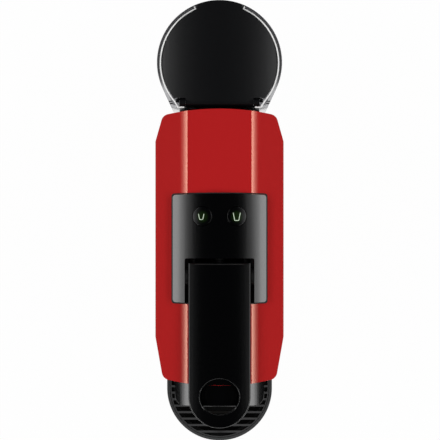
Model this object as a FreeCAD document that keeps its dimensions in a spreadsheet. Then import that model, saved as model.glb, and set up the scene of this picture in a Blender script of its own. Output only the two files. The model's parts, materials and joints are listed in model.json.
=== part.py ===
"""Pod coffee machine: a narrow countertop machine with a lever, a lift-off water tank and a drip drawer.

Millimetres, +Z up. The drip tray points to -Y and the water tank to +Y. The origin lies on the
worktop, under the middle of the machine.
"""

import FreeCAD, Part
import math
import os
import re

import Sketcher
from FreeCAD import Rotation, Vector

doc = FreeCAD.newDocument("pod_coffee_machine")

# Driving dimensions: name, millimetres or degrees, what it measures
SIZES = [
    ("gap", 0.3, "clearance between neighbouring pieces"),
    ("snug", 0.05, "radial clearance of a running fit"),
    ("body_width", 92.6, "width over the side facets"),
    ("body_front", 112.0, "origin to the front of the outer shell"),
    ("body_rear", 86.5, "origin to the rear of the outer shell"),
    ("side_front", 77.0, "origin to the front end of the side facets"),
    ("side_rear", 63.0, "origin to the rear end of the side facets"),
    ("end_half", 40.8, "half width at the front and rear corners"),
    ("end_bow", 4.5, "bow of the front and rear edges"),
    ("corner_radius", 6.0, "upright corners of the outer shell"),
    ("shell_bottom", 8.0, "worktop to the lower edge of the outer shell"),
    ("shell_top", 194.0, "worktop to the flat top of the outer shell"),
    ("shell_wall", 2.4, "wall of the outer shell"),
    ("flat_half", 23.0, "half width of the flat top"),
    ("shoulder_angle", 20.0, "slope where the shoulder leaves the flat top"),
    ("shoulder_radius", 60.0, "radius of the shoulder beside the flat top"),
    ("slope_angle", 27.0, "slope of the roof beyond the shoulder"),
    ("eave_radius", 6.0, "round between the sloping roof and the sides"),
    ("waist_height", 120.0, "worktop to where the sides start to taper in"),
    ("foot_half", 43.0, "half width of the shell at its lower edge"),
    ("column_front", 86.0, "origin to the front of the column"),
    ("head_bottom", 118.0, "worktop to the underside of the head"),
    ("head_fillet", 14.0, "inner corner between column and head"),
    ("base_bottom", 3.0, "worktop to the underside of the base"),
    ("base_inset", 0.6, "base edge inside the shell's lower edge"),
    ("foot_radius", 8.0, "rubber feet"),
    ("foot_x", 26.0, "feet from the middle plane"),
    ("foot_front", 124.0, "origin to the front feet"),
    ("foot_rear", 132.0, "origin to the rear feet"),
    ("tongue_half", 32.0, "half width of the base under the drawer"),
    ("tongue_front", 142.0, "origin to the front of the base"),
    ("neck_half", 31.5, "half width of the base between column and tank seat"),
    ("seat_radius", 37.5, "tank seat on the base"),
    ("seat_top", 30.0, "worktop to the top of the tank seat"),
    ("seat_wall", 2.4, "wall of the tank seat"),
    ("tank_centre", 120.0, "origin to the axis of the round tank"),
    ("tank_radius", 45.0, "outside of the tank"),
    ("tank_wall", 2.2, "wall of the tank"),
    ("tank_floor", 2.6, "floor of the tank"),
    ("tank_rim", 187.0, "worktop to the rim of the tank"),
    ("tank_gap", 0.7, "outer shell to the flat front of the tank"),
    ("tank_flare", 25.0, "angle of the tank's straight sides"),
    ("ledge_drop", 3.2, "tank rim to the ledge under the lid"),
    ("ledge_width", 3.4, "ledge under the lid"),
    ("ledge_height", 4.0, "height of the ledge under the lid"),
    ("lid_gap", 1.2, "tank wall to the edge of the lid"),
    ("lid_crown", 200.0, "radius of the lid's crowned top"),
    ("lid_rise", 3.4, "crown of the lid above the tank rim"),
    ("lid_wall", 2.4, "wall of the lid"),
    ("tab_half", 16.2, "half width of the lid's finger tab"),
    ("lid_axis_in", 4.0, "lid's hinge axis behind the front of the tank"),
    ("lid_axis_drop", 0.4, "lid's hinge axis below the tank rim"),
    ("knuckle_radius", 2.9, "lid knuckle"),
    ("knuckle_half", 24.4, "half length of the lid knuckle"),
    ("lid_pin_radius", 1.2, "lid hinge pin"),
    ("ear_length", 4.0, "length of each hinge ear on the tank"),
    ("valve_y", 108.0, "origin to the tank valve"),
    ("valve_radius", 6.0, "tank valve spout"),
    ("valve_drop", 10.0, "valve spout below the tank"),
    ("socket_wall", 2.2, "wall of the socket that takes the valve"),
    ("panel_half", 33.6, "half width of the control panel"),
    ("panel_front", 53.2, "origin to the front of the panel's arms"),
    ("panel_rear", 25.6, "origin to the rear of the panel"),
    ("panel_crown", 98.0, "radius of the panel's crowned top"),
    ("panel_height", 4.6, "crown of the panel above the flat top"),
    ("panel_bow", 0.4, "bow of the panel's front and rear edges"),
    ("panel_corner", 2.0, "corners of the panel"),
    ("notch_gap", 2.8, "notch beside the lever"),
    ("notch_rear_gap", 3.0, "notch behind the lever"),
    ("button_x", 12.4, "buttons from the middle plane"),
    ("button_y", 9.3, "origin to the buttons"),
    ("button_radius", 6.9, "button caps"),
    ("button_flange", 8.4, "flange under each button cap"),
    ("button_flange_height", 1.6, "height of the button flange"),
    ("button_lift", 1.4, "button flange below the shell's top wall"),
    ("button_travel", 1.0, "travel of the buttons"),
    ("icon_stroke", 0.65, "line width of the lit cup icons"),
    ("icon_depth", 0.6, "depth of the lit cup icons"),
    ("small_cup", 4.6, "height of the small cup icon"),
    ("large_cup", 6.4, "height of the large cup icon"),
    ("board_thick", 1.6, "circuit boards"),
    ("switch_height", 3.4, "tact switches under the buttons"),
    ("button_board_half", 27.5, "half length of the button board"),
    ("button_board_width", 17.0, "width of the button board"),
    ("switch_half", 3.0, "half width of a tact switch"),
    ("switch_tip", 1.6, "radius of a tact switch's plunger"),
    ("post_radius", 2.4, "posts that carry the button board"),
    ("lever_half", 22.2, "half width of the lever"),
    ("lever_height", 9.4, "thickness of the lever"),
    ("lever_crown", 108.0, "radius of the lever's crowned top"),
    ("lever_axis_y", 34.0, "origin to the lever's hinge axis"),
    ("lever_tail", 10.2, "lever behind its hinge axis"),
    ("barrel_radius", 12.4, "round rear edge of the lever, about its hinge axis"),
    ("lever_tip_centre", 119.6, "origin to the centre of the finger hole"),
    ("lever_lift", 0.6, "lever above the flat top of the shell"),
    ("finger_radius", 13.0, "finger hole in the lever"),
    ("lever_skin", 2.2, "wall of the lever cover"),
    ("lever_roof", 4.0, "roof of the lever cover"),
    ("lever_edge", 0.9, "rounded upper edge of the lever"),
    ("lever_pin_radius", 3.0, "lever hinge pin"),
    ("cam_inner", 17.8, "cam plates from the middle plane"),
    ("cam_thick", 2.0, "cam plates"),
    ("cam_margin", 5.0, "cam plate around its slot"),
    ("hub_radius", 6.5, "hub of the lever round its pin"),
    ("lever_swing", 95.0, "opening angle of the lever"),
    ("brew_travel", 28.0, "travel of the brew carriage"),
    ("follower_y", 78.0, "origin to the follower pins, closed"),
    ("follower_rise", 28.0, "follower pins above the brew axis"),
    ("follower_radius", 2.0, "follower pins"),
    ("brew_height", 25.0, "brew axis above the deck"),
    ("cage_radius", 17.4, "capsule cage"),
    ("cage_bore", 15.0, "bore that holds the capsule"),
    ("cage_front", 84.6, "origin to the lip of the cage, closed"),
    ("cage_length", 34.0, "length of the capsule cage"),
    ("cage_depth", 28.0, "depth of the capsule bore"),
    ("stem_radius", 5.0, "water inlet stem of the cage"),
    ("stem_length", 34.0, "length of the inlet stem"),
    ("arm_inner", 13.4, "inside of the carriage arms"),
    ("arm_width", 8.0, "carriage arms along the travel"),
    ("sleeve_front", 20.0, "origin to the front of the inlet sleeve"),
    ("sleeve_wall", 2.4, "wall of the inlet sleeve"),
    ("rib_drop", 8.0, "guide ribs below the brew axis"),
    ("rib_height", 3.0, "guide ribs"),
    ("rib_length", 26.0, "guide ribs along the travel"),
    ("spike_radius", 1.5, "capsule piercing spikes"),
    ("spike_tip", 0.3, "tips of the piercing spikes"),
    ("spike_length", 5.0, "capsule piercing spikes"),
    ("spike_circle", 5.0, "circle of the piercing spikes"),
    ("frame_inner", 22.5, "brew frame plates from the middle plane"),
    ("frame_thick", 2.2, "brew frame plates"),
    ("frame_room", 3.3, "nose flange to the front of the brew frame"),
    ("frame_rear", 14.0, "origin to the rear of the brew frame"),
    ("frame_drop", 2.6, "brew frame below the shell's top wall"),
    ("hinge_ear", 6.0, "radius of the brew frame's hinge ears"),
    ("slot_half", 21.6, "half width of the capsule slot in the shell"),
    ("slot_front", 88.0, "origin to the front of the capsule slot"),
    ("deck_rise", 10.0, "deck above the underside of the head"),
    ("deck_thick", 3.0, "deck that carries the brew unit"),
    ("chute_half", 20.6, "half width of the capsule chute"),
    ("chute_front", 85.0, "origin to the front of the capsule chute"),
    ("chute_rear", 50.0, "origin to the rear of the capsule chute"),
    ("plate_radius", 17.0, "pierced outlet plate"),
    ("plate_circle", 10.2, "circle of the outlet plate's holes"),
    ("plate_hole", 0.9, "holes in the outlet plate"),
    ("plate_thick", 2.6, "pierced outlet plate"),
    ("seal_width", 2.0, "seals"),
    ("nose_half", 32.0, "half width of the front nose"),
    ("nose_front", 127.0, "origin to the front of the nose"),
    ("nose_corner", 7.0, "upright corners of the nose"),
    ("nose_wall", 2.2, "wall of the nose"),
    ("holder_rise", 22.0, "top of the plate holder above the brew axis"),
    ("channel_drop", 16.0, "coffee channel below the brew axis"),
    ("spout_room", 1.0, "hole for the spout to the inside of the nose"),
    ("spout_radius", 6.5, "coffee spout"),
    ("spout_arm", 5.5, "level arm of the coffee spout"),
    ("spout_bore", 3.0, "bore of the coffee spout"),
    ("spout_drop", 4.0, "spout below the underside of the head"),
    ("tray_radius", 40.8, "round front of the drip tray"),
    ("tray_centre", 124.2, "origin to the centre of the tray's round front"),
    ("tray_top", 37.6, "worktop to the rim of the drip tray"),
    ("tray_wall", 2.2, "wall of the drip tray"),
    ("grid_thick", 3.4, "drip grid"),
    ("grid_rim", 3.6, "rim of the drip grid"),
    ("grid_pitch", 5.6, "slats of the drip grid"),
    ("grid_slat", 2.4, "width of a slat"),
    ("slat_drop", 1.0, "slats below the rim of the drip grid"),
    ("bin_half", 36.0, "half width of the capsule bin"),
    ("bin_rear", 16.0, "origin to the rear of the capsule bin"),
    ("bin_drop", 2.0, "rim of the capsule bin below the fascia's top"),
    ("bin_wall", 2.2, "wall of the capsule bin"),
    ("fascia_drop", 6.0, "drawer's fascia below the underside of the head"),
    ("wall_thick", 2.5, "inner walls"),
    ("chassis_y", 10.0, "origin to the front of the chassis wall"),
    ("heater_half", 26.0, "half width of the thermoblock"),
    ("heater_front", 14.0, "origin to the front of the thermoblock"),
    ("heater_length", 44.0, "length of the thermoblock"),
    ("heater_height", 36.0, "height of the thermoblock"),
    ("pump_z", 44.0, "worktop to the pump axis"),
    ("pump_x", 14.0, "pump axis from the middle plane"),
    ("riser_y", 4.0, "origin to the hose that rises through the deck"),
    ("pump_front", 6.0, "origin to the front of the pump"),
    ("pump_length", 62.0, "length of the pump"),
    ("pump_radius", 15.0, "barrel of the pump"),
    ("coil_half", 19.0, "half width of the pump coil"),
    ("coil_length", 34.0, "length of the pump coil"),
    ("nipple_radius", 3.0, "hose nipples"),
    ("hose_radius", 4.2, "hoses"),
    ("hose_bend", 5.8, "bends of the hoses"),
    ("meter_radius", 13.0, "flow meter"),
    ("meter_height", 20.0, "flow meter"),
    ("meter_x", 24.0, "flow meter from the middle plane"),
    ("meter_y", 50.0, "origin to the flow meter"),
    ("hose_z", 18.0, "worktop to the hoses by the base"),
    ("inlet_height", 15.0, "thermoblock's inlet above the deck"),
    ("board_low", 74.0, "worktop to the lower edge of the main board"),
    ("board_high", 122.0, "worktop to the upper edge of the main board"),
    ("board_left", -4.0, "middle plane to the left edge of the main board"),
    ("board_right", 36.0, "middle plane to the right edge of the main board"),
    ("board_stand", 2.0, "main board in front of the rear wall"),
    ("thermostat_radius", 8.0, "thermostat"),
    ("thermostat_height", 5.0, "thermostat"),
    ("terminal_width", 6.3, "heater terminals"),
    ("terminal_thick", 0.8, "heater terminals"),
    ("gland_radius", 6.0, "cord gland"),
    ("gland_z", 18.0, "worktop to the cord gland"),
    ("screw_radius", 1.5, "screw shanks"),
    ("screw_head", 3.0, "screw heads"),
    ("screw_length", 5.0, "screw shanks behind the face of the board"),
    ("screw_margin", 4.0, "screws from the edges of the main board"),
    ("part_margin", 6.4, "board parts from the left edge of the main board"),
    ("part_rise", 9.6, "board parts from the lower edge of the main board"),
    ("relay_width", 16.0, "relay on the main board"),
    ("relay_length", 15.4, "relay on the main board"),
    ("relay_height", 14.0, "relay on the main board"),
    ("filter_width", 10.4, "mains filter on the main board"),
    ("filter_length", 18.2, "mains filter on the main board"),
    ("filter_height", 9.0, "mains filter on the main board"),
    ("capacitor_radius", 5.0, "capacitors on the main board"),
    ("capacitor_height", 12.0, "capacitors on the main board"),
    ("capacitor_pitch", 12.8, "capacitors on the main board"),
    ("capacitor_drop", 11.5, "capacitors from the upper edge of the main board"),
]

# Places and sizes worked out from the driving dimensions
DERIVED = {
    "half_width": "body_width / 2",
    "taper": "(half_width - foot_half) / (waist_height - shell_bottom)",
    "shoulder_x": "flat_half - shoulder_radius * sin(shoulder_angle)",
    "shoulder_z": "shell_top - shoulder_radius * cos(shoulder_angle)",
    "slope_reach": "shoulder_radius + shoulder_x * sin(slope_angle) + shoulder_z * cos(slope_angle)",
    "eave_x": "half_width - eave_radius",
    "eave_z": "(slope_reach - eave_radius - eave_x * sin(slope_angle)) / cos(slope_angle)",
    "shell_inner_top": "shell_top - shell_wall * cos(shoulder_angle)",
    "tank_front": "body_rear + tank_gap",
    "tank_bottom": "seat_top + gap",
    "ledge_top": "tank_rim - ledge_drop",
    "lid_bottom": "ledge_top + gap",
    "lid_top": "tank_rim + lid_rise",
    "lid_radius": "tank_radius - tank_wall - lid_gap",
    "lid_axis_y": "tank_front + lid_axis_in",
    "lid_axis_z": "tank_rim - lid_axis_drop",
    "rest_floor": "shell_bottom + gap",
    "panel_top": "shell_top + panel_height",
    "button_top": "panel_top - panel_crown + sqrt(panel_crown ^ 2 - button_x ^ 2)",
    "flange_top": "shell_inner_top - button_lift",
    "flange_bottom": "flange_top - button_flange_height",
    "switch_top": "flange_bottom - button_travel",
    "button_board_top": "switch_top - switch_height",
    "post_x": "button_board_half - post_radius - gap",
    "post_reach": "post_x + post_radius - shoulder_x",
    "post_top": "shoulder_z + sqrt((shoulder_radius - shell_wall) ^ 2 - post_reach ^ 2)",
    "lever_bottom": "shell_top + lever_lift",
    "lever_top": "lever_bottom + lever_height",
    "lever_axis_z": "shell_top",
    "lever_rear": "lever_axis_y - lever_tail",
    "notch_half": "lever_half + notch_gap",
    "notch_rear": "lever_rear - notch_rear_gap",
    "deck_bottom": "head_bottom + deck_rise",
    "deck_top": "deck_bottom + deck_thick",
    "brew_z": "deck_top + brew_height",
    "rib_z": "brew_z - rib_drop",
    "follower_z": "brew_z + follower_rise",
    "channel_z": "brew_z - channel_drop",
    "holder_top": "brew_z + holder_rise",
    "inlet_z": "deck_top + inlet_height",
    "frame_top": "shell_inner_top - frame_drop",
    "frame_outer": "frame_inner + frame_thick",
    "cage_rear": "cage_front - cage_length",
    "grid_bottom": "tray_top - grid_thick",
    "tray_rear": "column_front + 2 * gap + wall_thick",
    "heater_rear": "heater_front + heater_length",
    "heater_top": "deck_top + heater_height",
    "socket_radius": "valve_radius + gap + socket_wall",
    "nose_flange": "body_front - end_bow - shell_wall - gap",
    "nose_edge_top": "(slope_reach - shell_wall - gap - nose_half * sin(slope_angle)) / cos(slope_angle)",
    "frame_front": "nose_flange - wall_thick - frame_room",
    "spout_y": "nose_front - nose_wall - spout_room - gap - spout_radius",
    "spout_bottom": "head_bottom - spout_drop",
    "fascia_top": "head_bottom - fascia_drop",
    "bin_top": "fascia_top - bin_drop",
    "rear_wall_front": "body_rear - end_bow - wall_thick",
    "board_front": "rear_wall_front - board_stand - board_thick",
    "gland_neck": "gland_radius - 2 * nipple_radius / 3",
    "pump_rear": "pump_front + pump_length",
    "fascia_front": "column_front + gap + wall_thick",
}


def fill_sheet():
    """The spreadsheet that holds the driving dimensions, one row each."""
    made = doc.addObject("Spreadsheet::Sheet", "Sizes")
    for row, (name, value, words) in enumerate(SIZES, start=1):
        made.set(f"A{row}", words)
        made.set(f"B{row}", str(value))
        made.setAlias(f"B{row}", name)
    doc.recompute()
    return made


sheet = fill_sheet()
DRIVING = {name for name, _, _ in SIZES}
sub_parts = []


def link(expression):
    """The expression as the document reads it, with each name traced to its cell."""

    def cell(match):
        word = match.group(0)
        if word in DERIVED:
            return f"({link(DERIVED[word])})"
        return f"Sizes.{word}" if word in DRIVING else word

    return re.sub(r"[A-Za-z_]\w*", cell, str(expression))


def size(expression):
    """The expression's value now, in millimetres or degrees."""
    found = sheet.evalExpression(link(expression))
    return float(getattr(found, "Value", found))


def bind(thing, prop, expression):
    """Ties a property of the object to the sheet."""
    thing.setExpression(prop, link(expression))


def place(thing, x, y, z, rotation=None):
    """Puts the object at a place that follows the sheet."""
    if rotation is not None:
        thing.Placement = FreeCAD.Placement(Vector(), rotation)
    for axis, expression in zip("xyz", (x, y, z)):
        bind(thing, f"Placement.Base.{axis}", expression)


def node(thing):
    """Marks the object as a sub-part of the machine."""
    sub_parts.append(thing)
    return thing


class Arc:
    """A round stretch of an outline, about a centre, between the points before and after it."""

    def __init__(self, u, v, clockwise=False):
        self.centre = (u, v)
        self.clockwise = clockwise


class Ring:
    """A circle in an outline."""

    def __init__(self, u, v, radius):
        self.centre = (u, v)
        self.radius = radius


PLANES = {"z": "XY_Plane", "y": "XZ_Plane", "x": "YZ_Plane"}
UP = Vector(0, 0, 1)


def draw_ring(sketch, ring):
    u, v = (size(c) for c in ring.centre)
    at = sketch.addGeometry(Part.Circle(Vector(u, v, 0), UP, size(ring.radius)))
    for kind, value, expression in (("DistanceX", u, ring.centre[0]), ("DistanceY", v, ring.centre[1])):
        k = sketch.addConstraint(Sketcher.Constraint(kind, -1, 1, at, 3, value))
        bind(sketch, f"Constraints[{k}]", expression)
    k = sketch.addConstraint(Sketcher.Constraint("Radius", at, size(ring.radius)))
    bind(sketch, f"Constraints[{k}]", ring.radius)


def draw_loop(sketch, path):
    """A closed outline through the path's points, each tied to the sheet."""
    corners = [p for p in path if not isinstance(p, Arc)]
    places = [(size(u), size(v)) for u, v in corners]
    arcs = {}
    for before, item in enumerate(path):
        if isinstance(item, Arc):
            arcs[corners.index(path[before - 1])] = item
    ends = []
    for i, (u0, v0) in enumerate(places):
        u1, v1 = places[(i + 1) % len(places)]
        arc = arcs.get(i)
        if arc is None:
            at = sketch.addGeometry(Part.LineSegment(Vector(u0, v0, 0), Vector(u1, v1, 0)))
            ends.append((at, 1, 2))
            continue
        cu, cv = (size(c) for c in arc.centre)
        circle = Part.Circle(Vector(cu, cv, 0), UP, math.hypot(u0 - cu, v0 - cv))
        start = math.atan2(v0 - cv, u0 - cu)
        stop = math.atan2(v1 - cv, u1 - cu)
        if arc.clockwise:
            start, stop = stop, start
        at = sketch.addGeometry(Part.ArcOfCircle(circle, start, stop))
        ends.append((at, 2, 1) if arc.clockwise else (at, 1, 2))
    for i, (at, _, last) in enumerate(ends):
        following, first, _ = ends[(i + 1) % len(ends)]
        sketch.addConstraint(Sketcher.Constraint("Coincident", at, last, following, first))
    for i, (at, first, _) in enumerate(ends):
        for kind, value, expression in zip(("DistanceX", "DistanceY"), places[i], corners[i]):
            k = sketch.addConstraint(Sketcher.Constraint(kind, -1, 1, at, first, value))
            bind(sketch, f"Constraints[{k}]", expression)
    for i, arc in arcs.items():
        (u0, v0), (u1, v1) = places[i], places[(i + 1) % len(places)]
        along = 1 if abs(u1 - u0) >= abs(v1 - v0) else 0
        kind = ("DistanceX", "DistanceY")[along]
        expression = arc.centre[along]
        k = sketch.addConstraint(Sketcher.Constraint(kind, -1, 1, ends[i][0], 3, size(expression)))
        bind(sketch, f"Constraints[{k}]", expression)


class Piece:
    """One body, built feature by feature from outlines on its own origin planes.

    An outline across z is drawn in (x, y), one across y in (x, z) and one across x in (y, z).
    """

    def __init__(self, name):
        self.body = doc.addObject("PartDesign::Body", name)
        self.planes = {f.Role: f for f in self.body.Origin.OriginFeatures}
        self.steps = 0

    def outline(self, axis, level, loops):
        self.steps += 1
        sketch = self.body.newObject("Sketcher::SketchObject", f"{self.body.Name}_outline_{self.steps}")
        sketch.AttachmentSupport = (self.planes[PLANES[axis]], [""])
        sketch.MapMode = "FlatFace"
        bind(sketch, "AttachmentOffset.Base.z", f"-({level})" if axis == "y" else level)
        for loop in loops:
            if isinstance(loop, Ring):
                draw_ring(sketch, loop)
            else:
                draw_loop(sketch, loop)
        return sketch

    def feature(self, kind, axis, level, length, loops):
        sketch = self.outline(axis, level, loops)
        made = self.body.newObject(f"PartDesign::{kind}", f"{self.body.Name}_{kind.lower()}_{self.steps}")
        made.Profile = sketch
        bind(made, "Length", length)
        doc.recompute()
        return made

    def pad(self, axis, low, high, *loops):
        """Adds the outline's solid between two levels along the axis."""
        self.feature("Pad", axis, high if axis == "y" else low, f"({high}) - ({low})", loops)
        return self

    def cut(self, axis, low, high, *loops):
        """Cuts the outline's solid away between two levels along the axis."""
        before = self.body.Shape.Volume
        self.feature("Pocket", axis, low if axis == "y" else high, f"({high}) - ({low})", loops)
        if self.body.Shape.Volume >= before:
            raise RuntimeError(f"a cut in {self.body.Name} removed nothing")
        return self

    def round_edges(self, radius, pick, kind="Fillet"):
        """Rounds, or chamfers, the edges that pick accepts."""
        base = self.body.Tip
        names = [f"Edge{i}" for i, e in enumerate(base.Shape.Edges, start=1) if pick(e)]
        if not names:
            raise RuntimeError(f"no edge to round in {self.body.Name}")
        self.steps += 1
        made = self.body.newObject(f"PartDesign::{kind}", f"{self.body.Name}_{kind.lower()}_{self.steps}")
        made.Base = (base, names)
        bind(made, "Radius" if kind == "Fillet" else "Size", radius)
        doc.recompute()
        return self


NEAR = 0.01


def upright(x=None, y=None):
    """Picks upright straight edges, at a distance from the middle plane and at a depth if given."""

    def pick(edge):
        a, b = (v.Point for v in (edge.Vertexes[0], edge.Vertexes[-1]))
        if math.hypot(a.x - b.x, a.y - b.y) > NEAR or abs(a.z - b.z) < NEAR:
            return False
        return (x is None or abs(abs(a.x) - size(x)) < NEAR) and (y is None or abs(a.y - size(y)) < NEAR)

    return pick


def level(z, also=None):
    """Picks edges that lie at one height, and that a further test accepts if given."""

    def pick(edge):
        box = edge.BoundBox
        flat = abs(box.ZMin - size(z)) < NEAR and abs(box.ZMax - size(z)) < NEAR
        return flat and (also is None or also(edge))

    return pick


def block(name, x, y, z):
    """A box between pairs of levels."""
    made = doc.addObject("Part::Box", name)
    for prop, (low, high) in zip(("Length", "Width", "Height"), (x, y, z)):
        bind(made, prop, f"({high}) - ({low})")
    place(made, x[0], y[0], z[0])
    return made


TURNS = {"x": Rotation(Vector(0, 1, 0), 90), "y": Rotation(Vector(1, 0, 0), -90), "z": Rotation()}


def rod(name, axis, at, radius, low, high):
    """A cylinder along an axis, between two levels. Its two other coordinates are in x, y, z order."""
    made = doc.addObject("Part::Cylinder", name)
    bind(made, "Radius", radius)
    bind(made, "Height", f"({high}) - ({low})")
    spot = list(at)
    spot.insert("xyz".index(axis), low)
    place(made, *spot, rotation=TURNS[axis])
    return made


def combine(kind, prop, name, things):
    made = doc.addObject(kind, name)
    setattr(made, prop, [getattr(t, "body", t) for t in things])
    doc.recompute()
    return made


def join(name, *things):
    """One solid from several that touch or overlap."""
    return combine("Part::MultiFuse", "Shapes", name, things)


def overlap(name, *things):
    """What several solids share."""
    return combine("Part::MultiCommon", "Shapes", name, things)


def group(name, *things):
    """Separate solids under one name."""
    return combine("Part::Compound", "Links", name, things)


def subtract(name, base, *tools):
    """The base with the tools' shapes cut away."""
    made = doc.addObject("Part::Cut", name)
    made.Base = getattr(base, "body", base)
    made.Tool = tools[0] if len(tools) == 1 else join(f"{name}_cutter", *tools)
    made.Tool = getattr(made.Tool, "body", made.Tool)
    doc.recompute()
    if made.Shape.Volume >= made.Base.Shape.Volume:
        raise RuntimeError(f"the cut in {name} removed nothing")
    return made


def sided(side, near, far):
    """The levels from near to far of the middle plane, on the side that is 1 or -1."""
    return (near, far) if side > 0 else (f"-({far})", f"-({near})")


def rectangle(u, v):
    """A rectangle between two pairs of levels."""
    return [(u[0], v[0]), (u[1], v[0]), (u[1], v[1]), (u[0], v[1])]


def middle(half):
    """The levels a half width each side of the middle plane."""
    return (f"-({half})", half)


# Outlines that several pieces share


def plan_loop(inset="0"):
    """The shell from above: straight side facets, drawn-in corners and bowed ends."""
    wide = f"half_width - ({inset})"
    narrow = f"end_half - ({inset})"
    front = f"-(body_front - end_bow - ({inset}))"
    rear = f"body_rear - end_bow - ({inset})"
    radius = f"((({narrow}) ^ 2 + end_bow ^ 2) / (2 * end_bow))"
    return [
        (f"-({wide})", "-side_front"),
        (f"-({narrow})", front),
        Arc("0", f"{front} - end_bow + {radius}"),
        (narrow, front),
        (wide, "-side_front"),
        (wide, "side_rear"),
        (narrow, rear),
        Arc("0", f"{rear} + end_bow - {radius}"),
        (f"-({narrow})", rear),
        (f"-({wide})", "side_rear"),
    ]


def section_loop(inset="0", past="0"):
    """The shell from the front: a flat top, sloping shoulders and sides that taper in to the base."""
    wide = f"half_width - ({inset})"
    foot = f"foot_half - ({inset}) - taper * ({past})"
    bottom = f"shell_bottom - ({past})"
    top = f"shell_top - ({inset}) * cos(shoulder_angle)"
    flat = f"flat_half - ({inset}) * sin(shoulder_angle)"
    low_x = f"eave_x + (eave_radius - ({inset})) * sin(slope_angle)"
    low_z = f"eave_z + (eave_radius - ({inset})) * cos(slope_angle)"
    high_x = f"shoulder_x + (shoulder_radius - ({inset})) * sin(slope_angle)"
    high_z = f"shoulder_z + (shoulder_radius - ({inset})) * cos(slope_angle)"
    return [
        (f"-({foot})", bottom),
        (foot, bottom),
        (wide, "waist_height"),
        (wide, "eave_z"),
        Arc("eave_x", "eave_z"),
        (low_x, low_z),
        (high_x, high_z),
        Arc("shoulder_x", "shoulder_z"),
        (flat, top),
        (f"-({flat})", top),
        Arc("-shoulder_x", "shoulder_z"),
        (f"-({high_x})", high_z),
        (f"-({low_x})", low_z),
        Arc("-eave_x", "eave_z"),
        (f"-({wide})", "eave_z"),
        (f"-({wide})", "waist_height"),
    ]


def crown_loop(half, low, top, radius):
    """A section under a crowned top."""
    edge = f"({top}) - ({radius}) + sqrt(({radius}) ^ 2 - ({half}) ^ 2)"
    return [
        (f"-({half})", low),
        (half, low),
        (half, edge),
        Arc("0", f"({top}) - ({radius})"),
        (f"-({half})", edge),
    ]


def tank_loop(inset="0"):
    """The tank from above: round at the rear, with straight sides that run in to a flat front."""
    radius = f"(tank_radius - ({inset}))"
    touch_x = f"{radius} * cos(tank_flare)"
    touch_y = f"tank_centre - {radius} * sin(tank_flare)"
    front = f"tank_front + ({inset})"
    front_x = f"{touch_x} - tan(tank_flare) * ({touch_y} - ({front}))"
    return [
        (f"-({front_x})", front),
        (front_x, front),
        (touch_x, touch_y),
        Arc("0", "tank_centre"),
        (f"-({touch_x})", touch_y),
    ]


def tray_loop(inset="0"):
    """The drip tray from above: a half circle in front of straight sides."""
    radius = f"tray_radius - ({inset})"
    rear = f"-(tray_rear + ({inset}))"
    return [
        (f"-({radius})", rear),
        (f"-({radius})", "-tray_centre"),
        Arc("0", "-tray_centre"),
        (radius, "-tray_centre"),
        (radius, rear),
    ]


def lever_loop(inset="0", rear="-lever_rear"):
    """The lever from above: a straight bar with a half-round tip."""
    half = f"lever_half - ({inset})"
    return [
        (f"-({half})", rear),
        (f"-({half})", "-lever_tip_centre"),
        Arc("0", "-lever_tip_centre"),
        (half, "-lever_tip_centre"),
        (half, rear),
    ]


PAST = "20"  # how far a cutting tool runs past what it cuts
BITE = "1"  # how far joined solids run into each other
ENDS = (f"-(body_front + {PAST})", f"body_rear + {PAST}")


def inside_shell(name, clearance, y=ENDS, z=("shell_bottom", "shell_top")):
    """The space inside the outer shell, less a clearance, between levels of y and z."""
    inset = f"shell_wall + {clearance}"
    plan = Piece(f"{name}_plan").pad("z", z[0], z[1], plan_loop(inset))
    section = Piece(f"{name}_section").pad("y", y[0], y[1], section_loop(inset, PAST))
    return overlap(name, plan, section)


# Outer casing


def make_outer_shell():
    plan = Piece("shell_plan").pad("z", "shell_bottom", f"shell_top + {PAST}", plan_loop())
    for y in ("-(body_front - end_bow)", "body_rear - end_bow"):
        plan.round_edges("corner_radius", upright(x="end_half", y=y))
    section = Piece("shell_section").pad("y", *ENDS, section_loop())
    profile = [
        ("-column_front", "shell_bottom"),
        (ENDS[1], "shell_bottom"),
        (ENDS[1], f"shell_top + {PAST}"),
        (ENDS[0], f"shell_top + {PAST}"),
        (ENDS[0], "head_bottom"),
        ("-column_front", "head_bottom"),
    ]
    side = Piece("shell_side").pad("x", *middle(f"half_width + {PAST}"), profile)
    corner = (size("-column_front"), size("head_bottom"))

    def inner_corner(edge):
        box = edge.BoundBox
        return math.hypot(box.YMin - corner[0], box.ZMin - corner[1]) < NEAR and box.XLength > NEAR

    side.round_edges("head_fillet", inner_corner)
    solid = overlap("shell_solid", plan, section, side)
    cavity_plan = Piece("shell_cavity_plan").pad("z", f"shell_bottom - {PAST}", "shell_top", cavity_loop())
    cavity_section = Piece("shell_cavity_section")
    cavity_section.pad("y", *ENDS, section_loop("shell_wall", PAST))
    cavity = overlap("shell_cavity", cavity_plan, cavity_section)
    above = ("shell_top - 2 * shell_wall", f"shell_top + {PAST}")
    capsule_slot = block("shell_capsule_slot", middle("slot_half"), ("-slot_front", "-lever_axis_y"), above)
    hinge_y = ("-panel_front", "-(notch_rear - gap)")
    hinge_slot = block("shell_hinge_slot", middle("frame_outer + gap"), hinge_y, above)
    holes = []
    for n, side in (("left", -1), ("right", 1)):
        at = (f"{side} * button_x", "button_y")
        holes.append(rod(f"shell_button_hole_{n}", "z", at, "button_radius + gap", *above))
    node(subtract("outer_shell", solid, cavity, capsule_slot, hinge_slot, *holes))


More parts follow.
